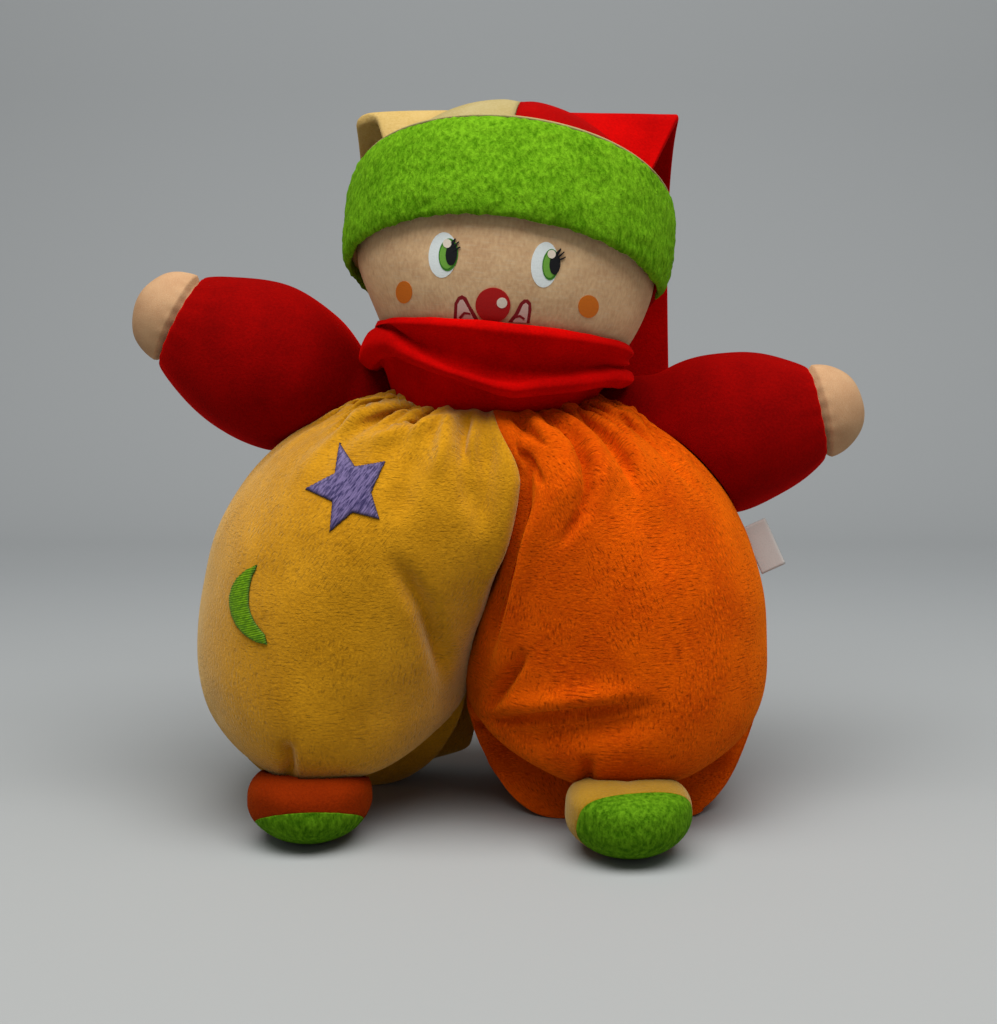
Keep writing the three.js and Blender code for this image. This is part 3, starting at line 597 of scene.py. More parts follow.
# %% [markdown]
# ## Folds
# Cloth that is gathered at the neck falls in folds, and a stuffed leg creases where it bends. A
# simulation gives folds of its own choosing, so these are sculpted: each is a line drawn over the
# picture, and the points near it move in or out along the surface. The unseen back gets the same
# folds, mirrored, apart from the tucks over the feet.

# %% Sculpting along drawn lines
TAPER = 0.35
LOWEST_BACK_FOLD = 760
FACING = (0.2, 0.65)


def near_line(spots, line, width):
    """How near each spot is to a drawn line: 1 on it, fading over these pixels and towards its ends."""
    line = np.array(line, float)
    steps = np.hypot(*np.diff(line, axis=0).T)
    gone = np.concatenate([[0], np.cumsum(steps)]) / steps.sum()
    best, at = np.full(len(spots), np.inf), np.zeros(len(spots))
    for k, (first, last) in enumerate(zip(line, line[1:])):
        run = last - first
        share = np.clip(((spots - first) @ run) / (run @ run), 0, 1)
        away = np.hypot(*(spots - first - share[:, None] * run).T)
        at = np.where(away < best, gone[k] + share * (gone[k + 1] - gone[k]), at)
        best = np.minimum(best, away)
    return np.exp(-((best / width) ** 2)) * smoothstep(at, 0, TAPER) * smoothstep(1 - at, 0, TAPER)


def fold(piece, strokes, both_sides=True):
    """Moves the points near each stroke by its depth: in where negative, out where positive."""
    for depth, width, line in strokes:
        points, normals = points_of(piece), normals_of(piece)
        mirrored = both_sides and line[-1][1] < LOWEST_BACK_FOLD
        for mirror in ((1, 1, 1), FRONT_TO_BACK)[:1 + mirrored]:
            seen = smoothstep((normals * mirror) @ BACK, *FACING)
            near = near_line(picture(points * mirror), line, width)
            points += normals * (depth * seen * near)[:, None]
        move_points(piece, points)


# %% The lines of the folds
# Each stroke: how far it moves the cloth in millimetres, its half width in pixels, and its line.
YELLOW_FOLDS = [
    (-4.5, 6, [(462, 396), (438, 403), (415, 413), (378, 432)]),
    (2.8, 9, [(452, 382), (420, 395), (385, 408), (330, 432)]),
    (2.2, 8, [(456, 410), (430, 422), (395, 436), (355, 446)]),
    (2.4, 8, [(448, 375), (449, 410), (444, 445), (432, 490)]),
    (-4.0, 5.5, [(472, 375), (468, 410), (463, 435), (464, 470)]),
    (-2.0, 10, [(464, 440), (466, 480), (472, 520)]),
    (2.4, 10, [(478, 370), (506, 430), (512, 480), (498, 555), (474, 640), (458, 706)]),
    (-2.4, 11, [(491, 420), (486, 470), (478, 545)]),
    (-2.2, 12, [(418, 430), (408, 470), (396, 530)]),
    (-4.2, 10, [(385, 545), (425, 610), (444, 662), (452, 716)]),
    (-2.4, 4, [(195, 680), (218, 728), (258, 778)]),
    (-3.4, 6, [(285, 738), (291, 786)]),
    (-1.8, 4, [(270, 436), (350, 408), (440, 372)]),
    (5.0, 20, [(470, 376), (420, 392), (370, 408), (310, 430)]),
]
ORANGE_FOLDS = [
    (-4.0, 8, [(520, 380), (527, 460), (521, 510), (504, 580), (488, 640), (474, 706)]),
    (2.6, 9, [(552, 470), (526, 553), (508, 628), (488, 690)]),
    (-2.8, 3.5, [(500, 400), (520, 421), (550, 450)]),
    (-2.6, 4, [(516, 438), (530, 464), (545, 490)]),
    (-5.5, 5, [(515, 392), (540, 411), (560, 424), (576, 438), (586, 458), (589, 488), (583, 511),
               (567, 536), (552, 556)]),
    (2.6, 10, [(520, 406), (545, 428), (564, 450), (570, 480), (556, 522)]),
    (1.8, 9, [(545, 396), (590, 436), (604, 470), (602, 520)]),
    (-4.0, 5, [(556, 384), (580, 408), (608, 437), (626, 460), (645, 506)]),
    (2.0, 9, [(568, 384), (624, 436), (656, 486)]),
    (-3.0, 4, [(578, 378), (620, 412), (655, 442), (710, 502)]),
    (-2.2, 4, [(600, 384), (650, 428), (712, 484)]),
    (-2.0, 14, [(612, 470), (655, 530), (670, 590)]),
    (-4.4, 6, [(478, 718), (500, 690), (530, 645)]),
    (-4.6, 6, [(440, 724), (492, 720), (532, 718), (590, 711), (670, 704)]),
    (-3.2, 14, [(470, 738), (530, 736), (600, 728), (680, 716)]),
    (2.4, 11, [(440, 708), (494, 706), (535, 705), (590, 698), (660, 692)]),
    (-3.4, 6, [(586, 752), (589, 796)]),
    (5.0, 16, [(520, 392), (570, 398), (615, 402), (670, 432)]),
]
print(len(YELLOW_FOLDS) + len(ORANGE_FOLDS), "strokes")

# %% Gathers, side seams and lumps
GATHERS = 0.45
GATHER_RANGE = (104, SHOULDER_HEIGHT - 6)
GATHER_WAVES = [(23, 1, 0), (37, 0.6, 1.3)]
SEAM_GROOVE = 0.9
SEAM_WIDTH = 2.2
SEAM_FROM = 2
LUMPS = 0.9
LUMP_SIZE = 22
LUMP_RANGE = (4, 20)


def soften(piece, half):
    """Gathers below the neck, a groove along the side seam, and the slight lumps of loose filling."""
    points = points_of(piece)
    height = points[:, 2]
    gathers = waves(np.arctan2(points[:, 0], -points[:, 1]), GATHER_WAVES)
    drawn = smoothstep(height, *GATHER_RANGE) * (height < SHOULDER_HEIGHT)
    seam, outer, *_ = edges(half, height)
    beside = np.hypot(half["sign"] * points[:, 0] - outer, points[:, 1] - seam)
    groove = np.exp(-((beside / SEAM_WIDTH) ** 2)) * (height > SEAM_FROM)
    lumps = grain(points, LUMP_SIZE) * smoothstep(height, *LUMP_RANGE)
    lift_points(piece, GATHERS * gathers * drawn - SEAM_GROOVE * groove + LUMPS * lumps)


for (name, piece), folds in zip(rompers.items(), (YELLOW_FOLDS, ORANGE_FOLDS)):
    soften(piece, HALVES[name])
    fold(piece, folds)
    apply(piece, "SMOOTH", factor=0.5, iterations=2)
settle(rompers["yellow"], YELLOW, "torso",
       ["body_front_yellow", "body_back_yellow", "body_filling"])
settle(rompers["orange"], ORANGE, "torso", ["body_front_orange", "body_back_orange"])

# %% [markdown]
# ## Marks sewn and printed on a surface
# The star and moon are stitched onto the yellow half, and the face is printed on the head. Both are
# thin shapes that lie on a curved surface. A fine grid is cut to the outline, thrown onto the surface
# as it is seen in the picture, and given a little thickness.

# %% Cutting a patch to an outline
def inside_outline(spots, outline):
    """Whether each spot is inside a closed outline."""
    inside = np.zeros(len(spots), bool)
    for (x1, y1), (x2, y2) in zip(outline, np.roll(outline, -1, axis=0)):
        crosses = (y1 > spots[:, 1]) != (y2 > spots[:, 1])
        inside ^= crosses & (spots[:, 0] < (x2 - x1) * (spots[:, 1] - y1) / (y2 - y1 + 1e-12) + x1)
    return inside


def nearest_on(spots, outline):
    """The nearest place on a closed outline to each spot."""
    best, gap = spots.copy(), np.full(len(spots), np.inf)
    for first, last in zip(outline, np.roll(outline, -1, axis=0)):
        run = last - first
        share = np.clip(((spots - first) @ run) / (run @ run), 0, 1)
        place = first + share[:, None] * run
        away = np.hypot(*(spots - place).T)
        best[away < gap] = place[away < gap]
        gap = np.minimum(gap, away)
    return best, gap


RIM_PIXELS = 1.3


def patch(name, outline, tree, lift, thickness, step=0.6, relief=None):
    """A thin shape with this outline in picture pixels, that stands up from a surface by lift."""
    outline = np.array(outline, float)
    low, high = outline.min(0) - step, outline.max(0) + step
    columns, rows = np.ceil((high - low) / step).astype(int)
    piece = new_grid(name, columns, rows)
    grid = raw_points(piece)[:, :2]
    spots = np.column_stack([low[0] + (grid[:, 0] + 1) / 2 * (high - low)[0],
                             high[1] - (grid[:, 1] + 1) / 2 * (high - low)[1]])
    edge, gap = nearest_on(spots, outline)
    inside = inside_outline(spots, outline)
    spots[~inside] = edge[~inside]
    hits, facings = cast(tree, spots)
    rise = np.full(len(spots), lift)
    if relief is not None:
        rise = rise + relief(spots, gap * inside)
    move_points(piece, hits + facings * rise[:, None])
    rim = piece.data.attributes.new("rim", "FLOAT", "POINT")
    rim.data.foreach_set("value", np.exp(-gap * inside / RIM_PIXELS))
    for parts in (piece.data.polygons, piece.data.edges):
        parts.foreach_set("select", np.zeros(len(parts), bool))
    piece.data.vertices.foreach_set("select", ~inside & (gap > step))
    bpy.ops.object.mode_set(mode="EDIT")
    bpy.ops.mesh.select_mode(type="VERT")
    bpy.ops.mesh.delete(type="VERT")
    bpy.ops.object.mode_set(mode="OBJECT")
    apply(piece, "SOLIDIFY", thickness=thickness * MM, offset=-1)
    return piece


# %% [markdown]
# ## The star and the moon
# Satin stitch fills a shape with threads laid side by side, so it stands up from the cloth in fine
# ridges and drops at its edge. The ridges are modelled at about 0.7 mm, coarser than real thread, so
# that they show.

# %% Embroidery
STITCH_PIXELS = 2.2
STITCH_HEIGHT = 0.16
STITCH_DROP = 0.5
STITCH_EDGE = 1.2
STITCH_LIFT = 0.9
STAR = [(340, 443), (355.5, 467), (385.5, 461.7), (371.5, 492.5), (379.6, 519.3), (352.8, 512.6),
        (330, 531.9), (332.7, 501.9), (305.4, 489.3), (335.4, 473.8)]
MOON = [(257.7, 564.8), (246, 570.5), (237.6, 578.2), (232.5, 587), (230, 597), (230.3, 606),
        (232.2, 615.7), (236.5, 625), (243, 633), (250, 638.5), (257.7, 642.5), (267.9, 644.7),
        (265.7, 634.5), (260, 628), (255, 621), (251.5, 613), (249.6, 605), (249.5, 594), (251, 583.6),
        (253, 576), (256.3, 570)]


def stitches(direction):
    """Ridges across a direction, rounded down at the outline."""
    def relief(spots, depth):
        ridge = np.sin(2 * math.pi * (spots @ np.array(direction)) / STITCH_PIXELS)
        return STITCH_HEIGHT * ridge - STITCH_DROP * np.exp(-depth / STITCH_EDGE)
    return relief


yellow_tree = tree_of(rompers["yellow"])
for name, outline, across, finish, slot in (
        ("star", STAR, (0.83, 0.55), VIOLET_THREAD, "violet_thread"),
        ("moon", MOON, (0.2, 0.98), MOON_THREAD, "green_thread")):
    piece = patch(f"{name}_embroidery", outline, yellow_tree, STITCH_LIFT, STITCH_LIFT,
                  relief=stitches(across))
    settle(piece, finish, "torso", [f"{name}_patch"])

# %% [markdown]
# ## The head
# The head is a ball of jersey that is stuffed tight and closed under the scarf. It leans a little to
# one side on the neck and turns a little. Its frame is kept, since the hat, the scarf and the face
# all sit in it.

# %% Head
HEAD_RADIUS = 48.5
HEAD_RISE = 44.65
HEAD_ROLL = math.radians(5.5)
HEAD_TURN = math.radians(-4)
HAT_TILT = math.radians(25)
NECK_CUT = -41.8
CHEEK_PULL = 3.2
CHEEK_ACROSS = (8, 40)
CHEEK_DOWN = (2, 22)
HEAD_LUMPS = 0.25
HEAD_LUMP_SIZE = 14


def turned(points, axis, angle):
    """Points turned about the x, y or z axis."""
    first, second = [(1, 2), (2, 0), (0, 1)]["xyz".index(axis)]
    result = points.copy()
    result[:, first] = points[:, first] * math.cos(angle) - points[:, second] * math.sin(angle)
    result[:, second] = points[:, first] * math.sin(angle) + points[:, second] * math.cos(angle)
    return result


def on_neck(points):
    """From the leaning head's own frame, with its middle at zero, to the doll's."""
    return turned(points + np.array([0, 0, HEAD_RISE]), "y", HEAD_ROLL) + np.array([0, 0, NECK_TOP])


def on_head(points):
    """From the frame of the head, which is turned a little on the neck, to the doll's."""
    return on_neck(turned(points, "z", HEAD_TURN))


def on_hat(points):
    """From the frame of the hat, which is tilted back on the head, to the doll's."""
    return on_head(turned(points, "x", -HAT_TILT))


head = new_ball("head", 160, 112, HEAD_RADIUS)
ball = raw_points(head)
ball[:, 2] = np.maximum(ball[:, 2], NECK_CUT)
ball[:, 0] += CHEEK_PULL * smoothstep(-ball[:, 0], *CHEEK_ACROSS) * smoothstep(-ball[:, 2], *CHEEK_DOWN)
lumps = HEAD_LUMPS * ball / HEAD_RADIUS * grain(ball, HEAD_LUMP_SIZE)[:, None]
move_points(head, on_head(ball + lumps))
settle(head, JERSEY, "head", ["head_cover", "head_filling"])
head_tree = tree_of(head)

# %% [markdown]
# ## The printed face
# Eyes, nose, cheeks and the corners of the mouth are fabric print. Each colour is its own thin shape,
# laid over the last one, and all of them are joined into one piece that turns with the head.

# %% Shapes of the face
def oval(centre, half, lean=0.0, steps=48):
    """An oval outline in picture pixels, leaning by degrees to the right at its top."""
    angle = np.linspace(0, 2 * math.pi, steps, endpoint=False)
    x, y = half[0] * np.cos(angle), half[1] * np.sin(angle)
    tilt = math.radians(lean)
    return np.column_stack([centre[0] + x * math.cos(tilt) - y * math.sin(tilt),
                            centre[1] + x * math.sin(tilt) + y * math.cos(tilt)])


EYES = {
    "near": dict(white=((443, 255), (14.2, 22.8)), iris=((448.6, 254.8), (9.6, 16.4)),
                 pupil=((451.8, 254.2), (5.6, 11.2)), shine=((447.8, 243.6), (4.2, 4.4)),
                 lash=(454, 249)),
    "far": dict(white=((544.6, 264.7), (13.6, 22.8)), iris=((550.6, 264.6), (8.4, 15.6)),
                pupil=((554.6, 264), (5.4, 10.6)), shine=((551.2, 254.2), (4.0, 4.2)),
                lash=(558.5, 259)),
}
EYE_LEAN = 5
PUPIL_LEAN = 4
IRIS_SHIFT = (-0.6, 0.5)
IRIS_SHARE = 0.82
LASHES = [[(-1, 1), (6.5, -2.5), (6.8, -1.3), (-1, 3)], [(-1, -3), (5, -7.5), (5.6, -6.5), (0, -1)],
          [(-3, -6), (1.5, -10.5), (2.4, -9.8), (-0.5, -4)]]
# Colour, layer and outline
MOUTH = [
    ("wine", 0, [(453.5, 321), (454.6, 303), (458, 297), (462, 295), (466.5, 297.6), (470, 305),
                 (475.5, 314), (479, 321)]),
    ("wine", 0, [(508, 322), (515, 313), (520, 303), (524, 299.4), (528, 299.4), (531, 303),
                 (531.5, 310), (529.5, 323)]),
    ("pink", 1, [(457, 321), (457.8, 304), (460.2, 300), (463, 299.4), (466.4, 305), (471, 313.5),
                 (475, 321)]),
    ("pink", 1, [(512.5, 322), (518.6, 314), (523, 304.5), (526, 302.8), (528.3, 305), (528, 312),
                 (526.4, 322.5)]),
    ("wine", 2, [(459, 317), (464, 311.5), (470, 312.5), (471, 314.5), (465, 314), (461, 319)]),
    ("wine", 2, [(514, 316), (520, 314.5), (525, 318), (524, 320), (519.5, 317), (515, 318)]),
]
# Colour, layer, middle and half size of the nose, its shine and the cheeks
SPOTS = [
    ("red", 2, (493, 305), (17.4, 17.4)), ("shine", 3, (502, 302.6), (5.2, 5.2)),
    ("orange", 0, (404.1, 292.2), (8.2, 11.2)), ("orange", 0, (588.4, 306.5), (10.3, 11.4)),
]
print(len(EYES), "eyes,", len(LASHES), "lashes each,", len(MOUTH) + len(SPOTS), "other shapes")

# %% Printing the face
INK_LIFT = 0.12
INK_LAYER = 0.1
INK_THICKNESS = 0.3
INK_STEP = 0.8
printed = []


def print_shape(colour, layer, outline):
    """Prints one outline on the face, in a layer over the ones below it."""
    piece = patch(f"ink_{len(printed)}", outline, head_tree, INK_LIFT + INK_LAYER * layer, INK_THICKNESS,
                  step=INK_STEP)
    piece.data.materials.append(INKS[colour])
    printed.append(piece)


for eye in EYES.values():
    print_shape("white", 0, oval(*eye["white"], lean=EYE_LEAN))
    print_shape("deep", 1, oval(*eye["iris"], lean=EYE_LEAN))
    centre, half = np.array(eye["iris"])
    print_shape("leaf", 2, oval(centre + IRIS_SHIFT, half * IRIS_SHARE, lean=EYE_LEAN))
    print_shape("black", 3, oval(*eye["pupil"], lean=PUPIL_LEAN))
    print_shape("shine", 4, oval(*eye["shine"]))
    for lash in LASHES:
        print_shape("black", 4, np.array(lash) + eye["lash"])
for shape in MOUTH:
    print_shape(*shape)
for colour, layer, centre, half in SPOTS:
    print_shape(colour, layer, oval(centre, half))
bpy.ops.object.select_all(action="DESELECT")
for piece in printed:
    piece.select_set(True)
bpy.context.view_layer.objects.active = printed[0]
bpy.ops.object.join()
face = printed[0]
face.name = "printed_face"
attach(face, "head")
print("printed face of", len(face.data.polygons), "faces in", len(face.data.materials), "inks")

# %% [markdown]
# ## The nightcap's crown
# The crown is two pieces of velour, cream and red, sewn over the top of the head. Half a ball would
# do for each, so each is a ball cut by two planes, below and at the seam, and Solidify gives the
# cloth its thickness inwards.

# %% Crown
SEAM_GAP = 0.35
CROWN_CLOTH = 2
CROWN_RADIUS = HEAD_RADIUS + SEAM_GAP + CROWN_CLOTH
CROWN_LOW = -4
CROWN_SEAM_WIDTH = 3
CROWN_SEAM_DEPTH = 0.6
CROWN_LUMPS = 0.3
CROWN_LUMP_SIZE = 16


def cut(piece, place, facing, **settings):
    """Cuts a mesh by a plane and takes away what is in front of it."""
    select_only(piece)
    bpy.ops.object.mode_set(mode="EDIT")
    bpy.ops.mesh.select_all(action="SELECT")
    bpy.ops.mesh.bisect(plane_co=place, plane_no=facing, clear_outer=True, **settings)
    bpy.ops.object.mode_set(mode="OBJECT")


for name, side, finish in (("cream", -1, CREAM), ("red", 1, CROWN_RED_PAINTED_SHADE)):
    crown = new_ball(f"crown_{name}", 128, 96, CROWN_RADIUS)
    cut(crown, (0, 0, CROWN_LOW), (0, 0, -1))
    cut(crown, (side * SEAM_GAP / 2, 0, 0), (-side, 0, 0))
    dome = raw_points(crown)
    puff = CROWN_LUMPS * grain(dome, CROWN_LUMP_SIZE)
    puff -= CROWN_SEAM_DEPTH * np.exp(-((dome[:, 0] / CROWN_SEAM_WIDTH) ** 2))
    move_points(crown, on_hat(dome * (1 + puff / CROWN_RADIUS)[:, None]))
    apply(crown, "SOLIDIFY", thickness=CROWN_CLOTH * MM, offset=-1)
    settle(crown, finish, "head", [f"hat_crown_{name}"])

# %% [markdown]
# ## The cuff
# The green cuff is a long-pile band, folded double and turned up round the hat. A torus is the
# quickest closed band: its small circle becomes the folded section, thick and round at both edges.
# The pile's tufts are moved points, because they show at the band's outline. Behind the ears the
# lower edge is drawn up.

# %% Bands round the head
def round_loop(controls, share):
    """Points on a smooth closed curve through control points, where share runs from 0 to 1 round it."""
    count = len(controls)
    at = share * count
    first = np.floor(at).astype(int)
    t = (at - first)[:, None]
    index = np.arange(len(share))
    a, b, c, d = (controls[(first + k) % count, index] for k in (-1, 0, 1, 2))
    line = 2 * b + (c - a) * t
    return (line + (2 * a - 5 * b + 4 * c - d) * t ** 2 + (3 * b - a - 3 * c + d) * t ** 3) / 2


def band(name, section, around=240, across=60):
    """A closed band round the upright axis, whose section of radius and height may vary round it."""
    piece = start(name, bpy.ops.mesh.primitive_torus_add, major_segments=around, minor_segments=across,
                  major_radius=1, minor_radius=0.25)
    ring = raw_points(piece)
    angle = np.arctan2(ring[:, 0], -ring[:, 1])
    share = np.arctan2(ring[:, 2], np.hypot(ring[:, 0], ring[:, 1]) - 1) / (2 * math.pi) % 1
    controls = np.stack([np.column_stack(np.broadcast_arrays(r, z, angle)[:2])
                         for r, z in section(angle)])
    radius, height = round_loop(controls, share).T
    return piece, np.column_stack([radius * np.sin(angle), -radius * np.cos(angle), height])


# %% Cuff
CUFF_SECTION = [(54.2, 5), (54.2, 13), (53.4, 19), (51.4, 21.7), (47.6, 20.8), (49.6, 14), (51.3, 5),
                (51.2, -3), (49.9, -8.6), (50.4, -10.6), (52.2, -9.2), (53.7, -3.2)]
CUFF_FACE = 52
CUFF_HUG = 0.8
CUFF_DRAW = (8, 3.5)
CUFF_DRAWN = (-16, 6)
CUFF_BEHIND = (68, 112)
TUFTS = 0.5
TUFT_SIZE = 1.8
TUFT_STRETCH = (1, 1, 0.6)
CUFF_LUMPS = 0.4
CUFF_LUMP_SIZE = 11


def cuff_section(angle):
    """The folded section, which behind the ears is drawn up below and lies closer to the head."""
    behind = smoothstep(np.abs(np.degrees(angle)), *CUFF_BEHIND)
    drawn = behind * np.where(angle > 0, *CUFF_DRAW)
    return [(r - CUFF_HUG * behind * (r > CUFF_FACE), z + drawn * smoothstep(-z, *CUFF_DRAWN))
            for r, z in CUFF_SECTION]


cuff, points = band("cuff", cuff_section, around=480, across=110)
move_points(cuff, on_hat(points))
points = points_of(cuff)
tufts = TUFTS * grain(points * TUFT_STRETCH, TUFT_SIZE) + CUFF_LUMPS * grain(points, CUFF_LUMP_SIZE)
lift_points(cuff, tufts)
settle(cuff, GREEN, "head", ["hat_cuff"])

# %% The cuff's edging
PIPING_SECTION = [(52.1, 21.9), (51.6, 22.5), (51.0, 21.9), (51.5, 21.3)]
piping, points = band("cuff_piping", lambda angle: PIPING_SECTION, across=12)
move_points(piping, on_hat(points))
settle(piping, CREAM, "head")

# %% [markdown]
# ## The nightcap's tail
# The hat ends in a flat double tail that folds over behind the crown. A grid follows the fold down
# the back, and Solidify with one subdivision gives it two soft faces and a round edge. Before the fold
# the grid runs on to the crown.

# %% The tail's path and edges
TAIL_CLOTH = 3
TAIL_FOLD = math.radians(24)
TAIL_TOP = CROWN_RADIUS + SEAM_GAP + TAIL_CLOTH / 2
TAIL_LOW = 59.5
TAIL_DROP = 46
TAIL_BEND = (TAIL_TOP + TAIL_LOW) / 2 * (math.pi / 2 - TAIL_FOLD)
TAIL_LENGTH = TAIL_BEND + TAIL_DROP
TAIL_TAPER = 1.8
TAIL_FREE = 0.14
WEB_SHARE = 0.16
WEB_FORWARD = 14
WEB_NARROW = 0.86
WEB_HALF = 44
WEB_SINK = 3
WEB_LEAST = 0.1
WEB_SPREAD = (2, 24)
TAILS = {
    "cream": dict(left=(-51, 36), right=(11.8, 39.8), finish=TAIL_CREAM_PAINTED_LIGHT, flat=(0.062, 0.108),
                  area=0.0047, straight=0.3, corner=7, puff=5.5),
    "red": dict(left=(12.2, 40.2), right=(58, 60), finish=RED, flat=(0.047, 0.108),
                area=0.0042, straight=0, corner=0, puff=0.8),
}
PUFF_REACH = 22
PUFF_ROUND = 6
TAIL_DIMPLE = [(-3.0, 4, [(371, 143), (377, 146)])]
HEAD_MIDDLE = on_neck(np.zeros((1, 3)))[0]


def tail_path(share):
    """How far back and how high the tail's middle layer is, from its fold to its tip."""
    gone = share * TAIL_LENGTH
    turn = np.clip(gone / TAIL_BEND, 0, 1)
    angle = TAIL_FOLD + (math.pi / 2 - TAIL_FOLD) * turn
    radius = TAIL_TOP + (TAIL_LOW - TAIL_TOP) * turn
    return radius * np.sin(angle), radius * np.cos(angle) - np.maximum(gone - TAIL_BEND, 0)


def tail_edges(tail, along):
    """The left and right edges of a tail at each share of its length; a corner may be round."""
    slope = np.clip((along - tail["straight"]) / (1 - tail["straight"]), 0, 1) ** TAIL_TAPER
    left = tail["left"][0] + (tail["left"][1] - tail["left"][0]) * slope
    right = tail["right"][0] + (tail["right"][1] - tail["right"][0]) * along ** TAIL_TAPER
    short = np.clip(tail["corner"] - along * TAIL_LENGTH, 0, tail["corner"])
    return left + tail["corner"] - np.sqrt(tail["corner"] ** 2 - short ** 2), right


def web_foot(place):
    """Where the cloth before the fold goes into the crown: further off at the sides than between."""
    foot = place - [0, WEB_FORWARD, 0]
    foot[:, 0] = np.clip(WEB_NARROW * place[:, 0], -WEB_HALF, WEB_HALF)
    foot[:, 2] = np.sqrt(np.maximum((TAIL_TOP - WEB_SINK) ** 2 - foot[:, 0] ** 2 - foot[:, 1] ** 2, 0))
    share = WEB_LEAST + (1 - WEB_LEAST) * smoothstep(np.abs(place[:, 0]), *WEB_SPREAD)
    return place + share[:, None] * (foot - place)


print("the tail is", round(TAIL_LENGTH, 1), "mm long from its fold")

# %% Tail
for name, tail in TAILS.items():
    piece = new_grid(f"tail_{name}", 36, 70)
    grid = (raw_points(piece)[:, :2] + 1) / 2
    along = 1 - (1 + WEB_SHARE) * grid[:, 1]
    left, right = tail_edges(tail, np.maximum(along, 0))
    back, height = tail_path(np.maximum(along, 0))
    place = np.column_stack([left + (right - left) * grid[:, 0], back, height])
    before = np.clip(-along / WEB_SHARE, 0, 1)[:, None]
    move_points(piece, HEAD_MIDDLE + place + before * (web_foot(place) - place))
    apply(piece, "SOLIDIFY", thickness=TAIL_CLOTH * MM, offset=0)
    across, along = np.hstack([grid[:, 0], grid[:, 0]]), np.hstack([along, along])
    edge = np.clip(4 * across * (1 - across), 0, 1) ** 0.5 * np.clip(PUFF_ROUND * along, 0, 1) ** 0.5
    near_corner = np.exp(-((along * TAIL_LENGTH / PUFF_REACH) ** 2))
    lift_points(piece, tail["puff"] * edge * near_corner)
    apply(piece, "SUBSURF", levels=1, render_levels=1)
    fold(piece, TAIL_DIMPLE, both_sides=False)
    settle(piece, tail["finish"], None, [f"hat_tail_{name}"])
    back, height = tail_path(np.array([0.0, TAIL_FREE]))
    hinge, free = ((HEAD_MIDDLE + NECK + [0, y, z]) * MM for y, z in zip(back, height))
    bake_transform(piece)

# %% [markdown]
# ## The cowl scarf
# The scarf is a wide red band round the neck, rolled at the chin and turned up at its lower edge,
# with a hollow between the two rolls. It dips in front and rises over each shoulder, so its section
# changes round the neck.

# %% The scarf's section
SCARF_TOP = -26
SCARF_TOP_RISE = 6
SCARF_HEM = -43.5
HEM_RADIUS = 42
LINING_RADIUS = 31
LINING_HEIGHT = -47
LINING_LEAN = 3.2
HOLLOW_DEPTH = 1.6
HOLLOW_SIDE = 2.4
BRIM = 4.0
BRIM_LESS = (2.4, 2.0)
SIDE_SPREAD = 50
SCARF_EASE = 0.7
SCARF_FULL = 22
ROLL_GAP = 0.8
# Height over the lowest hem and size of its roll, by degrees from the front
HEM_RISE = [(-180, 3), (-110, 3), (-88, 4), (-74, 7), (-62, 9), (-50, 10.3), (-38, 8.5), (-20, 6),
            (0, 2.5), (8, 1.8), (19, 3.2), (37, 5.1), (55, 6.7), (90, 6), (180, 3)]
HEM_ROLL = [(-180, 6), (-88, 8), (-70, 11.5), (-50, 9), (-38, 6.5), (-20, 4.4), (0, 5.4), (19, 6.4),
            (37, 7), (90, 7), (180, 6)]


def scarf_section(angle):
    """The section from the hollow over the chin roll, down the lining to the neck, and round the hem."""
    degrees = np.degrees(angle)
    left, right = (np.exp(-(((degrees - side) / SIDE_SPREAD) ** 2)) for side in (-90, 90))
    top = SCARF_TOP + SCARF_TOP_RISE * np.cos(angle)
    hem = SCARF_HEM + np.interp(degrees, *zip(*HEM_RISE))
    roll = np.interp(degrees, *zip(*HEM_ROLL))
    lining = LINING_HEIGHT + LINING_LEAN * np.sin(angle)
    size = np.clip((top - hem) / SCARF_FULL, 0.5, 1)
    brim = BRIM - BRIM_LESS[0] * left - BRIM_LESS[1] * right
    hollow = np.minimum(np.maximum(hem * 0.5 + top * 0.5, hem + roll + ROLL_GAP), top - ROLL_GAP)
    chin, cheek, throat = (np.sqrt((HEAD_RADIUS + SCARF_EASE) ** 2 - height ** 2) - CHEEK_PULL * left
                           for height in (top, hollow, top - 8))
    return [
        (cheek + HOLLOW_DEPTH + HOLLOW_SIDE * right, hollow),
        (chin + 0.4 * brim, np.maximum(top - 5 * size, hollow + 0.4)), (chin + brim, top - 1.8 * size),
        (chin + 0.65 * brim, top + 0.9 * size), (chin + 0.6, top - 0.2 * size),
        (throat + 0.2, top - 8), (LINING_RADIUS - 4, lining + 4), (LINING_RADIUS - 5, lining),
        (LINING_RADIUS, lining), (HEM_RADIUS - 5, hem + 0.15 * roll), (HEM_RADIUS - 1, hem),
        (HEM_RADIUS + 3, hem + 0.35 * roll), (HEM_RADIUS + 2.6, hem + 0.75 * roll),
        (HEM_RADIUS - 0.8, hem + 0.98 * roll),
    ]


print("the scarf's section has", len(scarf_section(0.0)), "points")

# %% Scarf and neck band
SCARF_LUMPS = 0.35
SCARF_LUMP_SIZE = 9
TAPE_SECTION = [(25.5, 135.8), (24.95, 136.4), (24.4, 135.8), (24.95, 135)]
scarf, points = band("cowl_scarf", scarf_section, around=260, across=72)
move_points(scarf, on_neck(points))
lift_points(scarf, SCARF_LUMPS * grain(points_of(scarf), SCARF_LUMP_SIZE))
settle(scarf, SCARF_RED_PAINTED_LIGHT, "torso", ["scarf"])

tape, points = band("neck_band", lambda angle: TAPE_SECTION, across=16)
move_points(tape, points)
settle(tape, RED, "torso", ["neck_tape"])

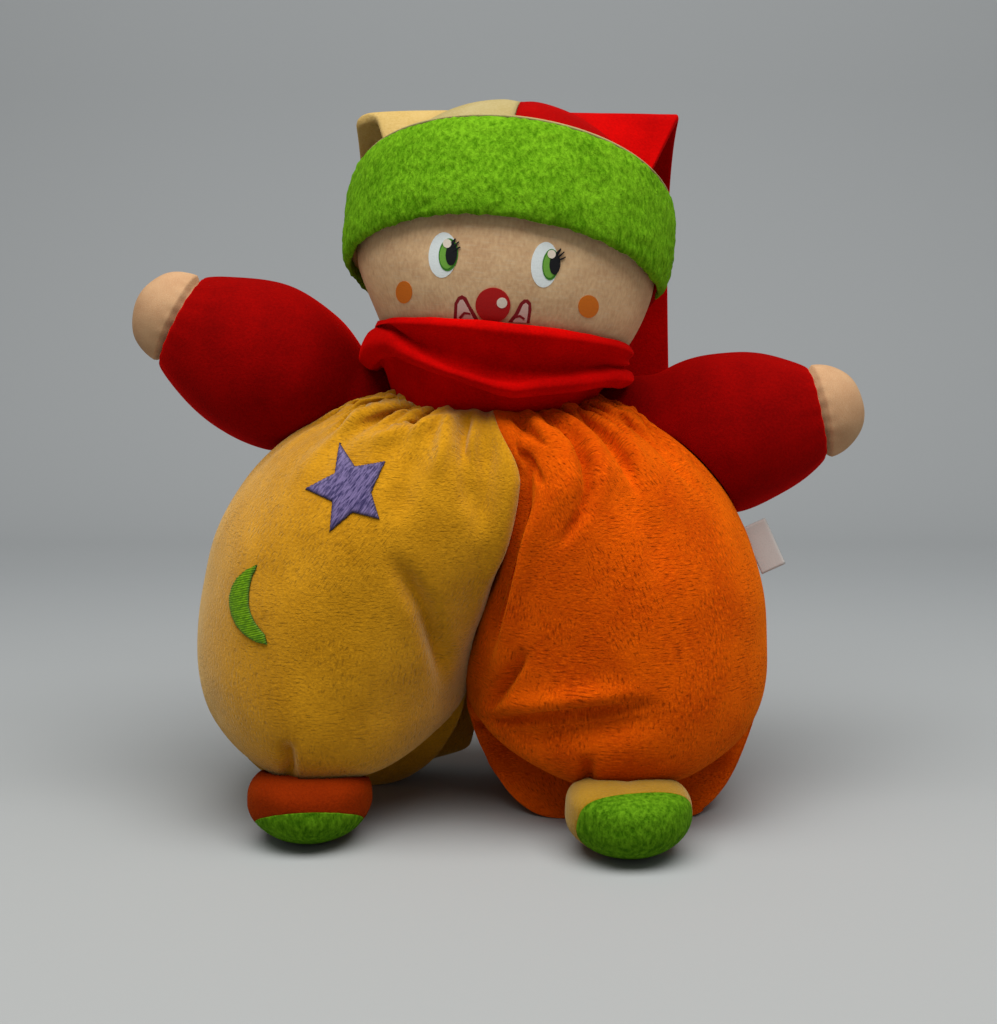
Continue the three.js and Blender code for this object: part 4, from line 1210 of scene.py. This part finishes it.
# %% [markdown]
# ## Sleeves and hands
# Each arm is a puffed sleeve gathered into a wrist, with a stuffed jersey hand tucked into it. Both
# are balls whose rows follow the arm. A sleeve's root is flat and goes into the romper, as a sewn one
# does. Its free part is pushed clear where it lies on the romper, as stuffing gives way.

# %% Rows that follow an arm
DEPTH_SHARE = 0.92
ROOT_DEPTH_SHARE = 0.62
ROOT_ROUNDS = (-4, 18)
ARMS = {
    "yellow_side": dict(shoulder=(-49.5, 12, 133), wrist=(-104, 12, 161), root=17),
    "orange_side": dict(shoulder=(48, 12, 117), wrist=(108, 12, 130.5), root=24),
}


def arm_axes(arm):
    """Where an arm starts, the directions along and across it, and its length."""
    start_point, end_point = np.array(arm["shoulder"], float), np.array(arm["wrist"], float)
    length = np.linalg.norm(end_point - start_point)
    along = (end_point - start_point) / length
    return start_point, along, np.cross([0, 1, 0], along), length


def along_arm(name, arm, profile, steps, rows):
    """A ball whose rows follow an arm, by a profile of (row, distance, radius)."""
    origin, along, across, _ = arm_axes(arm)
    piece = new_ball(name, steps, rows)
    ball = raw_points(piece)
    turn = np.arctan2(ball[:, 1], ball[:, 0])
    row = np.arccos(np.clip(-ball[:, 2], -1, 1)) / math.pi
    knots, distances, radii = zip(*profile)
    distance, radius = np.interp(row, knots, distances), np.interp(row, knots, radii)
    points = origin + np.outer(distance, along) + np.outer(radius * np.cos(turn), across)
    share = ROOT_DEPTH_SHARE + (DEPTH_SHARE - ROOT_DEPTH_SHARE) * smoothstep(distance, *ROOT_ROUNDS)
    points[:, 1] += radius * share * np.sin(turn)
    move_points(piece, points)
    return piece, turn, distance


print("arms of", [round(arm_axes(arm)[3], 1) for arm in ARMS.values()], "mm")

# %% A sleeve's profile and clearance
SLEEVE_SHOULDER = 18
SLEEVE_WRIST = 16.5
SLEEVE_SWELL = 10
SLEEVE_POWER = 0.9
SLEEVE_ROOT = 15
ROOT_SHARE = 0.25
SLEEVE_FREE = (2, 14)
SLEEVE_LUMPS = 0.6
SLEEVE_LUMP_SIZE = 17
WRIST_GATHERS = 0.22
WRIST_WAVES = [(17, 1, 0), (29, 0.8, 1)]
WRIST_RANGE = np.array([-14, -1])
CLEAR = 0.6
ROMPER_REACHES = (25, 6)
SCARF_REACH = 5


def push_clear(points, trees, reach):
    """Moves points that are inside a surface, by no more than reach, out to a small distance from it."""
    result = points.copy()
    for tree in trees:
        for i, point in enumerate(result):
            spot, facing, _, away = tree.find_nearest(Vector(point))
            gap = (Vector(point) - spot).dot(facing)
            if away < CLEAR or (away < reach and gap < -0.5 * away):
                result[i] = spot + facing * CLEAR
    return result


def sleeve_profile(root, length):
    """A sleeve's rows: its root, the puff, and the wrist turned in."""
    rows = [(0, -SLEEVE_ROOT, 0), (0.04, -SLEEVE_ROOT, root)]
    for t in np.linspace(0, 1, 60):
        radius = SLEEVE_SHOULDER + (SLEEVE_WRIST - SLEEVE_SHOULDER) * t
        radius += SLEEVE_SWELL * math.sin(math.pi * t) ** SLEEVE_POWER
        radius += (root - SLEEVE_SHOULDER) * (1 - smoothstep(t, 0, ROOT_SHARE))
        rows.append((0.1 + 0.82 * t, length * t, radius))
    return rows + [(0.94, length + 0.8, SLEEVE_WRIST - 0.8), (0.96, length, SLEEVE_WRIST - 2.4),
                   (1, length - 3, 0)]


for name, arm in ARMS.items():
    print(name, "sleeve has", len(sleeve_profile(arm["root"], arm_axes(arm)[3])), "profile rows")

# %% Sleeves
romper_trees = [tree_of(piece) for piece in rompers.values()]
scarf_tree = tree_of(scarf)
for name, arm in ARMS.items():
    origin, along, _, length = arm_axes(arm)
    sleeve, turn, distance = along_arm(f"puffed_sleeve_{name}", arm, sleeve_profile(arm["root"], length),
                                       112, 96)
    gathers = WRIST_GATHERS * smoothstep(distance, *(length + WRIST_RANGE)) * waves(turn, WRIST_WAVES)
    lift_points(sleeve, gathers + SLEEVE_LUMPS * grain(points_of(sleeve), SLEEVE_LUMP_SIZE))
    free = smoothstep(distance, *SLEEVE_FREE)[:, None]
    for reach in ROMPER_REACHES:
        points = points_of(sleeve)
        points += free * (push_clear(points, romper_trees, reach) - points)
        points += free * (push_clear(points, [scarf_tree], SCARF_REACH) - points)
        move_points(sleeve, points)
        apply(sleeve, "SMOOTH", factor=0.5, iterations=6)
    settle(sleeve, SLEEVE_RED_PAINTED_SHADE, None, [f"sleeve_{name}", f"arm_filling_{name}"])
    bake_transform(sleeve)

# %% Hands
HAND_RADIUS = 15.8
HAND_LENGTH = 14
HAND_POWERS = (1.1, 0.9)
HAND_LUMPS = 0.3
HAND_LUMP_SIZE = 8
PUCKERS = 0.15
PUCKER_COUNT = 19
PUCKER_RANGE = np.array([6, 2])


def hand_profile(length):
    """A hand's rows: its root inside the sleeve, and a round end."""
    rows = [(0, length - 4, 0), (0.06, length - 4, 13.4), (0.14, length + 0.6, 13.8)]
    for a in np.linspace(0, math.pi / 2, 40):
        distance = length + 2.7 + HAND_LENGTH * math.sin(a) ** HAND_POWERS[0]
        radius = HAND_RADIUS * math.cos(a) ** HAND_POWERS[1]
        rows.append((0.2 + 0.8 * a / (math.pi / 2), distance, radius))
    return rows


for name, arm in ARMS.items():
    length = arm_axes(arm)[3]
    hand, turn, distance = along_arm(f"jersey_hand_{name}", arm, hand_profile(length), 96, 64)
    puckers = PUCKERS * smoothstep(-distance, *(-length - PUCKER_RANGE)) * np.sin(PUCKER_COUNT * turn)
    lift_points(hand, puckers + HAND_LUMPS * grain(points_of(hand), HAND_LUMP_SIZE))
    settle(hand, HAND_JERSEY_PAINTED_SHADE, f"arm_{name}", [f"hand_{name}"])

# %% [markdown]
# ## Feet
# Each foot is an oval pad of two cloths: a velour upper and a long-pile green sole. One ball is
# shaped for both, copied, and each copy is cut at the seam with the cut filled.

# %% Drawn in from a surface
HALVINGS = 12


def is_inside(point, trees):
    """Whether a point is inside one of these closed surfaces, or too close to it."""
    for tree in trees:
        spot, facing, _, _ = tree.find_nearest(Vector(point))
        if (Vector(point) - spot).dot(facing) < CLEAR:
            return True
    return False


def draw_in(points, anchor, trees):
    """Draws points that are inside a surface back towards an anchor until they are clear of it."""
    for i, point in enumerate(points):
        if is_inside(point, trees):
            near, far = 0.0, 1.0
            for _ in range(HALVINGS):
                middle = (near + far) / 2
                if is_inside(anchor + (point - anchor) * middle, trees):
                    far = middle
                else:
                    near = middle
            points[i] = anchor + (point - anchor) * near
    return points


# %% Feet
FOOT = (19.5, 22, 13)
FOOT_SINK = 0.5
FOOT_RISE = 9.5
FOOT_BOX = 3.5
FOOT_SEAM = 8
FOOT_LUMPS = 0.4
FOOT_LUMP_SIZE = 10
ANCHOR_HEIGHT = 6.0
FEET = {
    "yellow_side": dict(x=-58, y=-39, facing=(0.05, -0.45, -0.9), finish=FOOT_ORANGE_PAINTED_SHADE,
                        slot="orange_velour"),
    "orange_side": dict(x=41.5, y=-52, facing=(0.2, -0.9, -0.25), finish=FOOT_YELLOW_PAINTED_SHADE,
                        slot="yellow_velour"),
}


def foot_pad(name, foot):
    """A foot's whole pad: round below, straight-sided above, and drawn in where the hem covers it."""
    piece = new_ball(name, 96, 64)
    ball = raw_points(piece)
    up = np.maximum(ball[:, 2], 0)
    straight = (1 - up ** FOOT_BOX) ** (1 / FOOT_BOX) / np.maximum(np.sqrt(1 - up ** 2), 1e-6)
    ball[:, :2] *= straight[:, None]
    points = ball * FOOT + [foot["x"], foot["y"], FOOT[2] - FOOT_SINK]
    points[:, 2] = np.clip(points[:, 2], 0, None) - np.maximum(ball[:, 2], 0) * (FOOT[2] - FOOT_RISE)
    points += FOOT_LUMPS * grain(points, FOOT_LUMP_SIZE)[:, None] * np.array([1, 1, 0])
    move_points(piece, draw_in(points, np.array([foot["x"], foot["y"], ANCHOR_HEIGHT]), romper_trees))
    return piece


for name, foot in FEET.items():
    upper = foot_pad(f"foot_top_{name}", foot)
    bpy.ops.object.duplicate()
    sole = bpy.context.object
    sole.name = sole.data.name = f"foot_bottom_{name}"
    facing = np.array(foot["facing"]) / np.linalg.norm(foot["facing"])
    seam = (np.array([foot["x"], foot["y"], FOOT[2]]) + facing * FOOT_SEAM + NECK) * MM
    cut(upper, seam, facing, use_fill=True)
    cut(sole, seam, -facing, use_fill=True)
    settle(upper, foot["finish"], f"foot_{name}",
           [f"foot_upper_{name}", f"foot_filling_{name}"])
    settle(sole, SOLE_GREEN_PAINTED_SHADE, f"foot_{name}", [f"foot_sole_{name}"])

# %% [markdown]
# ## The label
# A folded ribbon is caught in the side seam. It is left blank. A narrow grid is bent double round its
# outer end.

# %% Label
LABEL_WIDTH = 17
LABEL_LENGTH = 8.5
LABEL_HALF = 0.28
LABEL_BEND = 0.4
LABEL_CLOTH = 0.2
LABEL_TUCK = 0.5
LABEL_HEIGHT = 85
LABEL_LEAN = math.radians(25)
label = new_grid("side_label", 40, 20)
grid = raw_points(label)
run = grid[:, 0] * LABEL_LENGTH
reach = LABEL_LENGTH - np.abs(run)
layer = LABEL_HALF * np.tanh(run / LABEL_BEND)
ribbon = np.column_stack([reach, layer, grid[:, 1] * LABEL_WIDTH / 2])
_, label_root, *_ = edges(HALVES["orange"], np.array([float(LABEL_HEIGHT)]))
ribbon = turned(ribbon, "y", -LABEL_LEAN) + [label_root[0] - LABEL_TUCK, 0, LABEL_HEIGHT]
move_points(label, ribbon)
apply(label, "SOLIDIFY", thickness=LABEL_CLOTH * MM, offset=0)
settle(label, RIBBON, "label", ["label"])

# %% [markdown]
# ## Backdrop and light
# The doll sits on a pale sweep of paper that curves up well behind it, so there is no line between
# floor and wall. The paper is painted a little lighter far back, painted light for the less light that
# reaches it. One wide soft lamp above and in front gives soft shadows under the doll, and a dim world
# fills them.

# %% Backdrop
SWEEP_SIZE = 4
SWEEP_PLACE = (0, -1.1, 0)
WALL_HEIGHT = 2
SWEEP_CURVE = 0.35
sweep = start("paper_sweep", bpy.ops.mesh.primitive_plane_add, size=SWEEP_SIZE, location=SWEEP_PLACE)
bpy.ops.object.transform_apply(location=True)
bpy.ops.object.mode_set(mode="EDIT")
bpy.ops.mesh.select_mode(type="EDGE")
bpy.ops.mesh.select_all(action="DESELECT")
bpy.ops.object.mode_set(mode="OBJECT")
for edge in sweep.data.edges:
    edge.select = all(sweep.data.vertices[v].co.y > 0 for v in edge.vertices)
bpy.ops.object.mode_set(mode="EDIT")
bpy.ops.mesh.extrude_region_move(TRANSFORM_OT_translate={"value": (0, 0, WALL_HEIGHT)})
bpy.ops.object.mode_set(mode="OBJECT")
apply(sweep, "BEVEL", width=SWEEP_CURVE, segments=24)
bpy.ops.object.shade_smooth()
paper, tree, place = new_finish("pale_paper")
along = node(tree, "SeparateXYZ", {"Vector": place.outputs["Object"]})
behind = node(tree, "MapRange", {"Value": along.outputs["Y"], "From Min": -0.05, "From Max": 0.4})
# Painted light: the paper far back is painted lighter, to make up for the light that falls off there.
far = node(tree, "MapRange", {"Value": along.outputs["Y"], "From Min": 0.45, "From Max": 0.9})
floor_tone = node(tree, "MixRGB", {"Fac": behind, "Color1": linear("#9C9E9D"),
                                   "Color2": linear("#999C9D")})
tone = node(tree, "MixRGB", {"Fac": far, "Color1": floor_tone, "Color2": linear("#A5A8A9")})
shader = node(tree, "BsdfPrincipled", {"Base Color": tone, "Roughness": 0.9, "Specular IOR Level": 0.1})
node(tree, "OutputMaterial", {"Surface": shader})
sweep.data.materials.append(paper)
print("paper sweep of", len(sweep.data.polygons), "faces")

# %% Light
LAMP_PLACE = (0.02, -0.3, 1.0)
LAMP_SIZE = (1.3, 0.7)
LAMP_POWER = 18
LAMP_AIM = (0, 0, 0.1)
WORLD_COLOUR = (1, 1, 1, 1)
WORLD_STRENGTH = 0.22
bpy.ops.object.light_add(type="AREA", location=LAMP_PLACE)
lamp = bpy.context.object
lamp.name = "top_lamp"
lamp.data.shape = "RECTANGLE"
lamp.data.size, lamp.data.size_y = LAMP_SIZE
lamp.data.energy = LAMP_POWER
aim = Vector(LAMP_AIM) - lamp.location
lamp.rotation_euler = aim.to_track_quat("-Z", "Y").to_euler()
world = bpy.data.worlds.new("soft_room")
world.use_nodes = True
background = world.node_tree.nodes["Background"]
background.inputs["Color"].default_value = WORLD_COLOUR
background.inputs["Strength"].default_value = WORLD_STRENGTH
bpy.context.scene.world = world
bpy.context.scene.view_settings.view_transform = "Standard"
print("lamp of", LAMP_POWER, "W at", LAMP_PLACE)
